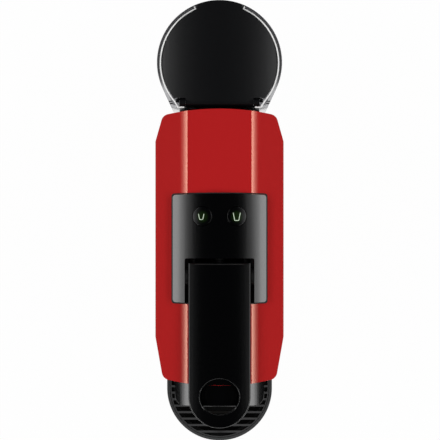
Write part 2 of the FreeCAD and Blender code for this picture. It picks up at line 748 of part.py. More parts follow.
def cavity_loop():
    """The shell's cavity from above: the side walls' inside, open at the front and rear."""
    wide = "half_width - shell_wall"
    narrow = "end_half - shell_wall"
    front = f"-(body_front + {PAST})"
    rear = f"body_rear + {PAST}"
    return [
        (f"-({wide})", "-side_front"),
        (f"-({narrow})", "-(body_front - end_bow)"),
        (f"-({narrow})", front),
        (narrow, front),
        (narrow, "-(body_front - end_bow)"),
        (wide, "-side_front"),
        (wide, "side_rear"),
        (narrow, "body_rear - end_bow"),
        (narrow, rear),
        (f"-({narrow})", rear),
        (f"-({narrow})", "body_rear - end_bow"),
        (f"-({wide})", "side_rear"),
    ]


def make_base():
    base = Piece("base_plate")
    edge = middle("foot_half - base_inset")
    body = rectangle(edge, ("-column_front", "body_rear - end_bow - corner_radius"))
    base.pad("z", "base_bottom", "shell_bottom", body)
    base.pad("z", "base_bottom", "shell_bottom", [
        ("-tongue_half", f"-column_front + {BITE}"),
        ("-tongue_half", "-tongue_front"),
        ("tongue_half", "-tongue_front"),
        ("tongue_half", f"-column_front + {BITE}"),
    ])
    seat = Ring("0", "tank_centre", "seat_radius")
    base.pad("z", "base_bottom", "seat_top", seat)
    neck_front = f"body_rear - end_bow - corner_radius - {BITE}"
    neck = rectangle(middle("neck_half"), (neck_front, "tank_centre"))
    base.pad("z", "base_bottom", "shell_bottom", neck)
    hollow = Ring("0", "tank_centre", "seat_radius - seat_wall")
    base.cut("z", "base_bottom", "seat_top - seat_wall", hollow)
    floor = Ring("0", "tank_centre", "seat_radius - seat_wall / 2")
    base.pad("z", "base_bottom", "base_bottom + seat_wall", floor)
    base.cut("z", "seat_top - 2 * seat_wall", "seat_top", Ring("0", "valve_y", "socket_radius + gap"))
    hose_hole = Ring("0", "hose_z", "hose_radius + gap")
    seat_front = "tank_centre - seat_radius"
    base.cut("y", f"{seat_front} - {BITE}", f"{seat_front} + 3 * seat_wall", hose_hole)
    gland_hole = Ring("0", "gland_z", "gland_neck")
    seat_rear = "tank_centre + seat_radius"
    base.cut("y", f"{seat_rear} - seat_wall - {BITE}", f"{seat_rear} + {BITE}", gland_hole)
    node(base.body)


def make_feet():
    feet = []
    for front, y in (("front", "-foot_front"), ("rear", "foot_rear")):
        for n, side in (("left", -1), ("right", 1)):
            name = f"foot_{front}_{n}"
            feet.append(rod(name, "z", (f"{side} * foot_x", y), "foot_radius", "0", "base_bottom"))
    node(group("rubber_feet", *feet))


BOARD_SCREWS = [
    (f"{x} - {toward} * screw_margin", f"{z} - {up} * screw_margin")
    for x, toward in (("board_left", -1), ("board_right", 1))
    for z, up in (("board_low", -1), ("board_high", 1))
]


def make_rear_wall():
    y = ("rear_wall_front", "rear_wall_front + wall_thick")
    solid = inside_shell("rear_wall_solid", "gap", y, ("shell_bottom", "shell_top"))
    hose = rod("rear_wall_hose_hole", "y", ("0", "hose_z"), "hose_radius + gap", *y)
    screws = [rod(f"rear_wall_hole_{n}", "y", at, "screw_radius", *y) for n, at in enumerate(BOARD_SCREWS)]
    seat_z = ("shell_bottom", "seat_top + gap")
    seat_room = rod("rear_wall_seat_room", "z", ("0", "tank_centre"), "seat_radius + gap", *seat_z)
    node(subtract("rear_wall", solid, hose, seat_room, *screws))


def make_front_nose():
    rear = "-(nose_flange - wall_thick)"
    plan = Piece("nose_plan")
    plan.pad("z", "head_bottom", "shell_top", rectangle(middle("nose_half"), ("-nose_front", rear)))
    plan.round_edges("nose_corner", upright(y="-nose_front"))
    flange = rectangle(middle("end_half - shell_wall - gap"), ("-nose_flange", rear))
    plan.pad("z", "head_bottom + wall_thick + gap", "shell_top", flange)
    section = Piece("nose_section")
    section.pad("y", "-nose_front", rear, section_loop("shell_wall + gap", PAST))
    room = block(
        "nose_room",
        middle("nose_half - nose_wall"),
        ("-nose_front + nose_wall", rear),
        ("head_bottom + nose_wall", "nose_edge_top - nose_wall"),
    )
    floor = ("head_bottom", "head_bottom + nose_wall")
    hole = rod("nose_spout_hole", "z", ("0", "-spout_y"), "spout_radius + gap", *floor)
    node(subtract("front_nose", overlap("nose_solid", plan, section), room, hole))


def make_head_floor():
    y = ("-(nose_flange - wall_thick - gap)", "-column_front")
    node(inside_shell("head_floor", "gap", y, ("head_bottom", "head_bottom + wall_thick")))


def panel_loop():
    """The panel from above, with bowed ends."""
    front = "-(panel_front - panel_bow)"
    rear = "panel_rear - panel_bow"
    radius = "(panel_half ^ 2 + panel_bow ^ 2) / (2 * panel_bow)"
    return [
        ("-panel_half", front),
        Arc("0", f"-panel_front + {radius}"),
        ("panel_half", front),
        ("panel_half", rear),
        Arc("0", f"panel_rear - {radius}"),
        ("-panel_half", rear),
    ]


def make_control_panel():
    plan = Piece("panel_plan").pad("z", "waist_height", "panel_top", panel_loop())
    plan.round_edges("panel_corner", upright(x="panel_half"))
    notch = rectangle(middle("notch_half"), (f"-panel_front - {PAST}", "-notch_rear"))
    plan.cut("z", "waist_height", "panel_top", notch)
    holes = [Ring(f"{side} * button_x", "button_y", "button_radius + gap") for side in (-1, 1)]
    plan.cut("z", "waist_height", "panel_top", *holes)
    crown = Piece("panel_crown_solid")
    section = crown_loop("panel_half", "waist_height", "panel_top", "panel_crown")
    crown.pad("y", "-panel_front", "panel_rear", section)
    solid = overlap("panel_solid", plan, crown)
    node(subtract("control_panel", solid, doc.getObject("shell_section")))


CUP_RIM = 0.48  # half width of a cup icon at its rim, for a height of 1
CUP_FOOT = 0.28  # half width at its foot


def cup_loop(x, height):
    """A cup's outline from above, open at its rim."""
    rim = f"{height} * {CUP_RIM}"
    foot = f"{height} * {CUP_FOOT}"
    low = f"button_y - {height} / 2"
    high = f"button_y + {height} / 2"
    inner_foot = f"({foot} - icon_stroke)"
    return [
        (f"{x} - {rim}", high),
        (f"{x} - {foot}", low),
        (f"{x} + {foot}", low),
        (f"{x} + {rim}", high),
        (f"{x} + {rim} - icon_stroke", high),
        (f"{x} + {inner_foot}", f"{low} + icon_stroke"),
        (f"{x} - {inner_foot}", f"{low} + icon_stroke"),
        (f"{x} - {rim} + icon_stroke", high),
    ]


def make_button(name, side, height):
    x = f"({side} * button_x)"
    floor = "button_top - icon_depth"
    icon = Piece(f"{name}_icon")
    icon.pad("z", floor, "button_top", cup_loop(x, height))
    node(icon.body)
    cap = Piece(f"{name}_button")
    cap.pad("z", "flange_bottom", "button_top", Ring(x, "button_y", "button_radius"))
    cap.pad("z", "flange_bottom", "flange_top", Ring(x, "button_y", "button_flange"))
    cap.cut("z", floor, "button_top", cup_loop(x, height))
    node(cap.body)


def make_buttons():
    make_button("espresso", -1, "small_cup")
    make_button("lungo", 1, "large_cup")


def make_button_board():
    y = ("button_y - button_board_width / 2", "button_y + button_board_width / 2")
    z = ("button_board_top - board_thick", "button_board_top")
    node(block("button_board", middle("button_board_half"), y, z))
    switches = []
    posts = []
    for n, side in (("left", -1), ("right", 1)):
        x = f"{side} * button_x"
        case_x = (f"{x} - switch_half", f"{x} + switch_half")
        case_y = ("button_y - switch_half", "button_y + switch_half")
        case_z = ("button_board_top", "switch_top - switch_tip / 2")
        case = block(f"switch_case_{n}", case_x, case_y, case_z)
        tip = rod(f"switch_tip_{n}", "z", (x, "button_y"), "switch_tip", "button_board_top", "switch_top")
        switches.append(join(f"switch_{n}", case, tip))
        at = (f"{side} * post_x", "button_y - button_board_width / 2 + post_radius + gap")
        posts.append(rod(f"post_{n}", "z", at, "post_radius", "button_board_top", "post_top"))
    node(group("tact_switches", *switches))
    node(group("board_posts", *posts))


# Lever and its hinge


def make_lever_cover():
    cover = Piece("lever_cover_solid")
    hole = Ring("0", "-lever_tip_centre", "finger_radius")
    cover.pad("z", "lever_bottom", "lever_top", lever_loop(), hole)
    wide = f"lever_half + {BITE}"
    edge = f"lever_top - lever_crown + sqrt(lever_crown ^ 2 - ({wide}) ^ 2)"
    over = [
        (f"-({wide})", edge),
        Arc("0", "lever_top - lever_crown", clockwise=True),
        (wide, edge),
        (wide, f"lever_top + {BITE}"),
        (f"-({wide})", f"lever_top + {BITE}"),
    ]
    rear = f"-lever_rear + {BITE}"
    cover.cut("y", f"-(lever_tip_centre + {wide})", rear, over)
    middle_z = size("(lever_bottom + lever_top) / 2")

    def upper_edge(edge):
        box = edge.BoundBox
        return box.ZMin > middle_z and box.YLength > NEAR

    cover.round_edges("lever_edge", upper_edge)
    barrel_start = "-lever_axis_y + sqrt(barrel_radius ^ 2 - (lever_top - lever_axis_z) ^ 2)"
    barrel_end = "lever_axis_z + sqrt(barrel_radius ^ 2 - lever_tail ^ 2)"
    cover.cut("x", *middle(wide), [
        (barrel_start, "lever_top"),
        Arc("-lever_axis_y", "lever_axis_z", clockwise=True),
        ("-lever_rear", barrel_end),
        (rear, barrel_end),
        (rear, f"lever_top + {BITE}"),
        (barrel_start, f"lever_top + {BITE}"),
    ])
    island = Ring("0", "-lever_tip_centre", "finger_radius + lever_skin")
    hollow = lever_loop("lever_skin", "-(lever_rear + lever_tail / 2)")
    cover.cut("z", "lever_bottom", "lever_top - lever_roof", hollow, island)
    at = ("-lever_axis_y", "lever_axis_z")
    hub_room = rod("cover_hub_room", "x", at, "hub_radius + gap", *middle("lever_half - lever_skin"))
    node(subtract("lever_cover", cover, hub_room, pin_bore("cover_pin_room", "gap")))


def make_lever_arm():
    hub = rod("arm_hub", "x", ("-lever_axis_y", "lever_axis_z"), "hub_radius", *middle("cam_inner - gap"))
    y = ("-(lever_tip_centre - finger_radius - 2 * lever_skin)", "-lever_axis_y")
    bar = block("arm_bar", middle("cam_inner - gap"), y, ("lever_bottom", "lever_top - lever_roof"))
    bore = pin_bore("arm_bore")
    node(subtract("lever_arm", join("arm_solid", hub, bar), bore))


def pin_bore(name, clearance="snug"):
    """The bore round the lever pin."""
    radius = f"lever_pin_radius + {clearance}"
    return rod(name, "x", ("-lever_axis_y", "lever_axis_z"), radius, *middle("half_width"))


def make_lever_pin():
    at = ("-lever_axis_y", "lever_axis_z")
    node(rod("lever_pin", "x", at, "lever_pin_radius", *middle("frame_outer")))


def follower_path():
    """Where the follower sits in the lever's own frame as the lever opens, from the hinge axis, as (y, z).

    The follower runs level, by an equal step for each degree of the lever's swing.
    """
    steps = 24
    path = []
    for i in range(steps + 1):
        turn = math.radians(size("lever_swing")) * i / steps
        y = -(size("follower_y - lever_axis_y") - size("brew_travel") * i / steps)
        z = size("follower_z - lever_axis_z")
        sine, cosine = math.sin(turn), math.cos(turn)
        path.append(Vector(0, y * cosine - z * sine, y * sine + z * cosine))
    return path


def band(path, radius, x, thick):
    """A plate that reaches a radius round a path, from x through its thickness."""
    axis = Vector(1, 0, 0)
    sides = ([], [])
    for i, point in enumerate(path):
        along = (path[min(i + 1, len(path) - 1)] - path[max(i - 1, 0)]).normalize()
        across = axis.cross(along) * radius
        sides[0].append(point + across)
        sides[1].append(point - across)
    edges = []
    for line in sides:
        curve = Part.BSplineCurve()
        curve.interpolate(line)
        edges.append(curve.toShape())
    for end, outward in ((0, path[0] - path[1]), (-1, path[-1] - path[-2])):
        beyond = path[end] + outward.normalize() * radius
        edges.append(Part.Arc(sides[0][end], beyond, sides[1][end]).toShape())
    outline = Part.Wire(Part.__sortEdges__(edges))
    return plate(outline, x, thick)


def plate(outline, x, thick):
    made = Part.Face(outline).extrude(Vector(thick, 0, 0))
    made.translate(Vector(x, 0, 0))
    return made


def make_cam_plate(name, side):
    thick = size("cam_thick")
    x = size("cam_inner") if side > 0 else -size("cam_inner") - thick
    path = follower_path()
    axis = Vector(1, 0, 0)
    slot = size("follower_radius + gap")
    rim = band(path, slot + size("cam_margin"), x, thick)
    web = plate(Part.makePolygon([Vector(), *path, Vector()]), x, thick)
    hub = Part.makeCylinder(size("hub_radius"), thick, Vector(x, 0, 0), axis)
    top = size("lever_top - lever_roof - lever_axis_z")
    foot = Part.makeBox(thick, size("follower_y - lever_axis_y"), top + slot, Vector(x, path[0].y, -slot))
    bore = Part.makeCylinder(size("lever_pin_radius + snug"), thick, Vector(x, 0, 0), axis)
    shape = rim.multiFuse([web, hub, foot]).cut(band(path, slot, x, thick)).cut(bore)
    made = doc.addObject("Part::Feature", name)
    made.Shape = shape.removeSplitter()
    place(made, "0", "-lever_axis_y", "lever_axis_z")
    node(made)


def make_cam_plates():
    make_cam_plate("cam_plate_left", -1)
    make_cam_plate("cam_plate_right", 1)


# Brew unit


def make_brew_frame(name, side):
    x = sided(side, "frame_inner", "frame_outer")
    frame = Piece(name)
    frame.pad("x", *x, rectangle(("-frame_front", "-frame_rear"), ("deck_top", "frame_top")))
    frame.pad("x", *x, Ring("-lever_axis_y", "lever_axis_z", "hinge_ear"))
    reach = "(follower_radius + gap)"
    y = (f"-(follower_y + {reach})", f"-(follower_y - brew_travel - {reach})")
    frame.cut("x", *x, rectangle(y, (f"follower_z - {reach}", f"follower_z + {reach}")))
    reach = "(rib_height / 2 + gap)"
    y = ("-(cage_front + gap)", "-(cage_front - rib_length - brew_travel - gap)")
    frame.cut("x", *x, rectangle(y, (f"rib_z - {reach}", f"rib_z + {reach}")))
    frame.cut("x", *x, Ring("-lever_axis_y", "lever_axis_z", "lever_pin_radius"))
    node(frame.body)


def make_brew_frames():
    make_brew_frame("brew_frame_left", -1)
    make_brew_frame("brew_frame_right", 1)


def make_carriage():
    axis = ("0", "brew_z")
    solids = [
        rod("cage_barrel", "y", axis, "cage_radius", "-cage_front", "-cage_rear"),
        rod("cage_stem", "y", axis, "stem_radius", "-cage_rear", "-(cage_rear - stem_length)"),
    ]
    for n, side in (("left", -1), ("right", 1)):
        y = ("-(follower_y + arm_width / 2)", "-(follower_y - arm_width / 2)")
        z = ("brew_z", "follower_z + arm_width / 2")
        solids.append(block(f"carriage_arm_{n}", sided(side, "arm_inner", "cage_radius"), y, z))
        y = ("-cage_front", "-(cage_front - rib_length)")
        z = ("rib_z - rib_height / 2", "rib_z + rib_height / 2")
        solids.append(block(f"carriage_rib_{n}", sided(side, "arm_inner", "frame_outer - gap"), y, z))
    cuts = [
        rod("cage_bore_tool", "y", axis, "cage_bore", "-cage_front", "-(cage_front - cage_depth)"),
        rod("inlet_bore", "y", axis, "spike_radius", "-cage_front", "-(cage_rear - stem_length)"),
        rod("follower_bore", "x", ("-follower_y", "follower_z"), "follower_radius", *middle("half_width")),
    ]
    node(subtract("brew_carriage", join("carriage_solid", *solids), *cuts))
    pins = []
    for n, side in (("left", -1), ("right", 1)):
        x = sided(side, "arm_inner", "frame_outer - gap")
        pins.append(rod(f"follower_{n}", "x", ("-follower_y", "follower_z"), "follower_radius", *x))
    node(group("follower_pins", *pins))


def make_spikes():
    spikes = []
    root = "-(cage_front - cage_depth)"
    for n, turn in enumerate((90, 210, 330), start=1):
        spike = doc.addObject("Part::Cone", f"spike_{n}")
        bind(spike, "Radius1", "spike_radius")
        bind(spike, "Radius2", "spike_tip")
        bind(spike, "Height", "spike_length")
        x = f"spike_circle * cos({turn})"
        z = f"brew_z + spike_circle * sin({turn})"
        place(spike, x, root, z, rotation=Rotation(Vector(1, 0, 0), 90))
        spikes.append(spike)
    node(group("piercing_spikes", *spikes))


PLATE_HOLES = 8


def make_outlet():
    axis = ("0", "brew_z")
    face = "-(cage_front + gap)"
    seal_y = (f"{face} - seal_width", face)
    plate_y = (f"{face} - plate_thick", face)
    solid = block("holder_solid", middle("frame_inner"), ("-frame_front", face), ("deck_top", "holder_top"))
    cuts = [
        rod("holder_plate_seat", "y", axis, "plate_radius", *plate_y),
        rod("holder_seal_seat", "y", axis, "plate_radius + seal_width", *seal_y),
        rod("holder_channel", "y", ("0", "channel_z"), "spout_bore", "-frame_front", face),
    ]
    node(subtract("plate_holder", solid, *cuts))
    holes = []
    for n in range(PLATE_HOLES):
        turn = n * 360 / PLATE_HOLES
        at = (f"plate_circle * cos({turn})", f"brew_z + plate_circle * sin({turn})")
        holes.append(rod(f"plate_hole_{n}", "y", at, "plate_hole", *plate_y))
    node(subtract("outlet_plate", rod("plate_disc", "y", axis, "plate_radius", *plate_y), *holes))
    ring = rod("seal_ring", "y", axis, "plate_radius + seal_width", *seal_y)
    node(subtract("plate_seal", ring, rod("seal_bore", "y", axis, "plate_radius", *seal_y)))


def make_spout():
    upright_z = ("spout_bottom", "channel_z + spout_radius")
    level_y = ("-spout_y", "-frame_front")
    solid = join(
        "spout_solid",
        rod("spout_upright", "z", ("0", "-spout_y"), "spout_radius", *upright_z),
        rod("spout_level", "y", ("0", "channel_z"), "spout_arm", *level_y),
    )
    bores = [
        rod("spout_upright_bore", "z", ("0", "-spout_y"), "spout_bore", "spout_bottom", "channel_z"),
        rod("spout_level_bore", "y", ("0", "channel_z"), "spout_bore", *level_y),
    ]
    node(subtract("coffee_spout", solid, *bores))


def make_inlet_sleeve():
    axis = ("0", "brew_z")
    bore = "stem_radius + gap"
    tube = rod("sleeve_tube", "y", axis, f"{bore} + sleeve_wall", "-sleeve_front", "heater_front")
    hole = rod("sleeve_bore", "y", axis, bore, "-sleeve_front", "heater_front - sleeve_wall")
    node(subtract("inlet_sleeve", tube, hole))


def make_deck():
    y = ("-(nose_flange - wall_thick - gap)", "rear_wall_front - gap")
    deck = inside_shell("deck_solid", "gap", y, ("deck_bottom", "deck_top"))
    z = ("deck_bottom", "deck_top")
    chute = block("deck_chute", middle("chute_half"), ("-chute_front", "-chute_rear"), z)
    hose = rod("deck_hose_hole", "z", ("-pump_x", "-riser_y"), "hose_radius + gap", *z)
    node(subtract("brew_deck", deck, chute, hose))


def make_chassis_wall():
    y = ("-(chassis_y + wall_thick)", "-chassis_y")
    node(inside_shell("chassis_wall", "gap", y, ("shell_bottom", "deck_bottom")))


# Water tank and lid


def make_tank():
    tank = Piece("tank_solid")
    tank.pad("z", "tank_bottom", "tank_rim", tank_loop())
    tank.cut("z", "tank_bottom + tank_floor", "tank_rim", tank_loop("tank_wall"))
    ledge = tank_loop("tank_wall / 2")
    tank.pad("z", "ledge_top - ledge_height", "ledge_top", ledge, tank_loop("tank_wall + ledge_width"))
    tank.cut("z", "tank_bottom", "tank_bottom + tank_floor", Ring("0", "valve_y", "valve_radius"))
    reach = "knuckle_radius + gap"
    y = ("tank_front", f"lid_axis_y + {reach}")
    z = (f"lid_axis_z - ({reach})", f"tank_rim + {BITE}")
    notch = block("tank_notch", middle("knuckle_half + gap"), y, z)
    axis = ("lid_axis_y", "lid_axis_z")
    ears = []
    for n, side in (("left", -1), ("right", 1)):
        x = sided(side, "knuckle_half + gap", "knuckle_half + gap + ear_length")
        ring = rod(f"tank_ear_{n}", "x", axis, "knuckle_radius", *x)
        z = ("ledge_top - ledge_height", "lid_axis_z")
        foot_y = ("tank_front + tank_wall / 2", "lid_axis_y + knuckle_radius")
        foot = block(f"tank_ear_foot_{n}", x, foot_y, z)
        ears += [ring, foot]
    bore = rod("tank_ear_bore", "x", axis, "lid_pin_radius", *middle("half_width"))
    node(subtract("water_tank", join("tank_with_ears", subtract("tank_notched", tank, notch), *ears), bore))
    x = middle("knuckle_half + gap + ear_length")
    node(rod("lid_pin", "x", axis, "lid_pin_radius", *x))


def make_lid():
    plan = Piece("lid_plan")
    front_x = "sqrt(lid_radius ^ 2 - (tank_centre - lid_axis_y) ^ 2)"
    loop = [
        (f"-({front_x})", "lid_axis_y"),
        (front_x, "lid_axis_y"),
        Arc("0", "tank_centre"),
    ]
    plan.pad("z", "lid_bottom", "lid_top", loop)
    tab_y = "tank_centre + sqrt((tank_radius - gap) ^ 2 - tab_half ^ 2)"
    tab = [
        ("-tab_half", "tank_centre"),
        ("tab_half", "tank_centre"),
        ("tab_half", tab_y),
        Arc("0", "tank_centre"),
        ("-tab_half", tab_y),
    ]
    plan.pad("z", "tank_rim + gap", "lid_top", tab)
    y = ("lid_axis_y - knuckle_radius", "tank_centre + tank_radius")
    crown = Piece("lid_crown_solid")
    crown.pad("y", *y, crown_loop("lid_radius", "lid_bottom", "lid_top", "lid_crown"))
    skin = overlap("lid_skin", plan, crown)
    hollow_plan = Piece("lid_hollow_plan")
    hollow_plan.pad("z", "lid_bottom", "lid_top", Ring("0", "tank_centre", "lid_radius - lid_wall"))
    inner_y = ("lid_axis_y + knuckle_radius + lid_wall", y[1])
    hollow_crown = Piece("lid_hollow_crown")
    under = crown_loop("lid_radius - lid_wall", "lid_bottom - lid_wall", "lid_top - lid_wall", "lid_crown")
    hollow_crown.pad("y", *inner_y, under)
    hollow = overlap("lid_hollow", hollow_plan, hollow_crown)
    axis = ("lid_axis_y", "lid_axis_z")
    ears = []
    for n, side in (("left", -1), ("right", 1)):
        x = sided(side, "knuckle_half", "half_width")
        z = ("lid_bottom", "lid_top")
        ears.append(block(f"lid_ear_room_{n}", x, ("lid_axis_y", "lid_axis_y + knuckle_radius + gap"), z))
    knuckle = rod("lid_knuckle", "x", axis, "knuckle_radius", *middle("knuckle_half"))
    bore = rod("lid_bore", "x", axis, "lid_pin_radius + snug", *middle("half_width"))
    shell = subtract("lid_shell", skin, hollow, *ears)
    node(subtract("tank_lid", join("lid_with_knuckle", shell, knuckle), bore))


def make_valve():
    floor = "tank_bottom + tank_floor"
    at = ("0", "valve_y")
    low = "tank_bottom - valve_drop"
    solid = join(
        "valve_solid",
        rod("valve_stem", "z", at, "valve_radius", low, f"{floor} + socket_wall"),
        rod("valve_flange", "z", at, "valve_radius + socket_wall", floor, f"{floor} + socket_wall"),
    )
    bore = rod("valve_bore", "z", at, "spout_bore", low, f"{floor} + socket_wall")
    node(subtract("tank_valve", solid, bore))
    z = ("hose_z - nipple_radius - socket_wall", "seat_top")
    cup = rod("socket_cup", "z", at, "socket_radius", *z)
    tube_y = ("valve_y - socket_radius - 2 * nipple_radius", "valve_y")
    nipple = rod("socket_nipple", "y", ("0", "hose_z"), "nipple_radius", *tube_y)
    room = rod("socket_room", "z", at, "valve_radius + gap", "hose_z", "seat_top")
    bore = rod("socket_bore", "y", ("0", "hose_z"), "nipple_radius / 2", *tube_y)
    node(subtract("tank_socket", join("socket_solid", cup, nipple), room, bore))


# Drip drawer


def make_drawer():
    tray = Piece("drip_tray")
    tray.pad("z", "rest_floor", "tray_top", tray_loop())
    tray.cut("z", "rest_floor + tray_wall", "tray_top", tray_loop("tray_wall"))
    ledge = ("grid_bottom - gap - tray_wall", "grid_bottom - gap")
    tray.pad("z", *ledge, tray_loop("tray_wall / 2"), tray_loop("tray_wall + grid_rim"))
    node(tray.body)
    bin_front = "-fascia_front"
    walls = Piece("capsule_bin")
    y = (bin_front, "-bin_rear")
    walls.pad("z", "rest_floor", "bin_top", rectangle(middle("bin_half"), y))
    inner_y = (f"{bin_front} + bin_wall", "-bin_rear - bin_wall")
    walls.cut("z", "rest_floor + bin_wall", "bin_top", rectangle(middle("bin_half - bin_wall"), inner_y))
    low = "foot_half - 2 * shell_wall"
    fascia = [
        (f"-({low})", "rest_floor"),
        (low, "rest_floor"),
        ("tray_radius", "fascia_top"),
        ("-tray_radius", "fascia_top"),
    ]
    walls.pad("y", bin_front, f"{bin_front} + wall_thick", fascia)
    node(walls.body)


def make_grid():
    edge = "tray_wall + gap"
    rim = Piece("grid_rim_solid")
    rim.pad("z", "grid_bottom", "tray_top", tray_loop(edge), tray_loop(f"{edge} + grid_rim"))
    area = Piece("grid_area")
    area.pad("z", "grid_bottom", "tray_top - slat_drop", tray_loop(f"{edge} + grid_rim / 2"))
    rows = int(size("tray_centre + tray_radius - tray_rear") / size("grid_pitch"))
    slats = []
    for n in range(1, rows):
        y = f"-(tray_centre + tray_radius - {n} * grid_pitch)"
        levels = (f"{y} - grid_slat / 2", f"{y} + grid_slat / 2")
        slats.append(block(f"slat_{n}", middle("tray_radius"), levels, ("grid_bottom", "tray_top")))
    bars = overlap("grid_bars", area, join("slats", *slats))
    node(join("drip_grid", rim, bars))


# Water system and electrics behind the drawer


HEATER_FINS = 6


def make_thermoblock():
    block_x = middle("heater_half")
    y = ("heater_front", "heater_rear")
    heater = Piece("thermoblock")
    heater.pad("z", "deck_top", "heater_top", rectangle(block_x, y))
    heater.round_edges("nipple_radius", upright())
    pitch = f"heater_length / {HEATER_FINS}"
    for n in range(1, HEATER_FINS):
        at = f"heater_front + {n} * {pitch}"
        groove = rectangle(block_x, (f"{at} - {pitch} / 5", f"{at} + {pitch} / 5"))
        heater.cut("z", "heater_top - nipple_radius", "heater_top", groove)
    inlet = Ring("-pump_x", "inlet_z", "nipple_radius")
    heater.cut("y", "heater_front", "heater_front + heater_length / 2", inlet)
    node(heater.body)
    at = ("0", "(heater_front + heater_rear) / 2")
    z = ("heater_top", "heater_top + thermostat_height")
    node(rod("thermostat", "z", at, "thermostat_radius", *z))
    tabs = []
    for n, side in (("left", -1), ("right", 1)):
        x = sided(side, "heater_half / 2", "heater_half / 2 + terminal_width")
        tab_y = ("heater_rear", "heater_rear + 2 * terminal_width")
        z = ("inlet_z", "inlet_z + terminal_thick")
        tabs.append(block(f"terminal_{n}", x, tab_y, z))
    node(group("heater_terminals", *tabs))


def make_pump():
    axis = ("-pump_x", "pump_z")
    barrel = rod("pump_barrel", "y", axis, "pump_radius", "pump_front", "pump_rear")
    elbow = rod("pump_outlet", "y", axis, "nipple_radius", "-riser_y", "pump_front")
    riser_z = ("pump_z - nipple_radius", "pump_z + pump_radius")
    riser = rod("pump_riser", "z", ("-pump_x", "-riser_y"), "nipple_radius", *riser_z)
    inlet_x = ("-pump_x", "-pump_x + pump_radius + 2 * nipple_radius")
    inlet = rod("pump_inlet", "x", ("pump_rear - 2 * nipple_radius", "pump_z"), "nipple_radius", *inlet_x)
    y = ("(pump_front + pump_rear - coil_length) / 2", "(pump_front + pump_rear + coil_length) / 2")
    coil_x = ("-pump_x - coil_half", "-pump_x + coil_half")
    coil_z = ("pump_z - coil_half", "pump_z + coil_half")
    bore = rod("coil_bore", "y", axis, "pump_radius", *y)
    node(join("pump", barrel, elbow, riser, inlet))
    node(subtract("pump_coil", block("coil_solid", coil_x, y, coil_z), bore))
    mounts = []
    for n, at in (("front", "pump_front + wall_thick"), ("rear", "pump_rear - 4 * wall_thick")):
        levels = (at, f"{at} + 2 * wall_thick")
        x = ("-pump_x - pump_radius / 2", "-pump_x + pump_radius / 2")
        saddle = block(f"mount_block_{n}", x, levels, ("shell_bottom", "pump_z"))
        room = rod(f"mount_room_{n}", "y", axis, "pump_radius", *levels)
        mounts.append(subtract(f"mount_{n}", saddle, room))
    node(group("pump_mounts", *mounts))


def make_flow_meter():
    z = ("shell_bottom", "shell_bottom + meter_height")
    case = rod("meter_case", "z", ("meter_x", "meter_y"), "meter_radius", *z)
    reach = "meter_radius + 2 * nipple_radius"
    inlet_x = (f"meter_x - ({reach})", "meter_x")
    inlet = rod("meter_inlet", "x", ("meter_y", "hose_z"), "nipple_radius", *inlet_x)
    outlet_y = ("meter_y", f"meter_y + {reach}")
    outlet = rod("meter_outlet", "y", ("meter_x", "hose_z"), "nipple_radius", *outlet_y)
    node(join("flow_meter", case, inlet, outlet))


def hose(name, *stops):
    """A hollow hose with straight runs between the stops and a bend at each one."""
    points = [Vector(*(size(c) for c in stop)) for stop in stops]
    bend = size("hose_bend")
    edges = []
    last = points[0]
    for before, corner, after in zip(points, points[1:], points[2:]):
        come = (corner - before).normalize()
        go = (after - corner).normalize()
        half = come.getAngle(go) / 2
        setback = bend * math.tan(half)
        inward = (go - come).normalize()
        crest = corner + inward * (bend / math.cos(half) - bend)
        edges.append(Part.makeLine(last, corner - come * setback))
        edges.append(Part.Arc(corner - come * setback, crest, corner + go * setback).toShape())
        last = corner + go * setback
    edges.append(Part.makeLine(last, points[-1]))
    spine = Part.Wire(edges)
    heading = points[1] - points[0]
    tubes = []
    for radius in (size("hose_radius"), size("nipple_radius + gap")):
        ring = Part.Wire(Part.makeCircle(radius, points[0], heading))
        tubes.append(spine.makePipeShell([ring], True, False))
    made = doc.addObject("Part::Feature", name)
    made.Shape = tubes[0].cut(tubes[1])
    node(made)


def make_hoses():
    start = "valve_y - socket_radius - nipple_radius"
    finish = "meter_x - meter_radius - nipple_radius"
    hose(
        "suction_hose",
        ("0", start, "hose_z"),
        ("0", "meter_y", "hose_z"),
        (finish, "meter_y", "hose_z"),
    )
    start = "meter_y + meter_radius + nipple_radius"
    finish = "-pump_x + pump_radius + nipple_radius"
    reach = "pump_rear - 2 * nipple_radius"
    hose(
        "feed_hose",
        ("meter_x", start, "hose_z"),
        ("meter_x", f"{start} + 2 * hose_radius", "hose_z"),
        ("meter_x", f"{start} + 2 * hose_radius", "pump_z"),
        ("meter_x", reach, "pump_z"),
        (finish, reach, "pump_z"),
    )
    hose(
        "pressure_hose",
        ("-pump_x", "-riser_y", "pump_z + 2 * nipple_radius"),
        ("-pump_x", "-riser_y", "inlet_z"),
        ("-pump_x", "heater_front", "inlet_z"),
    )


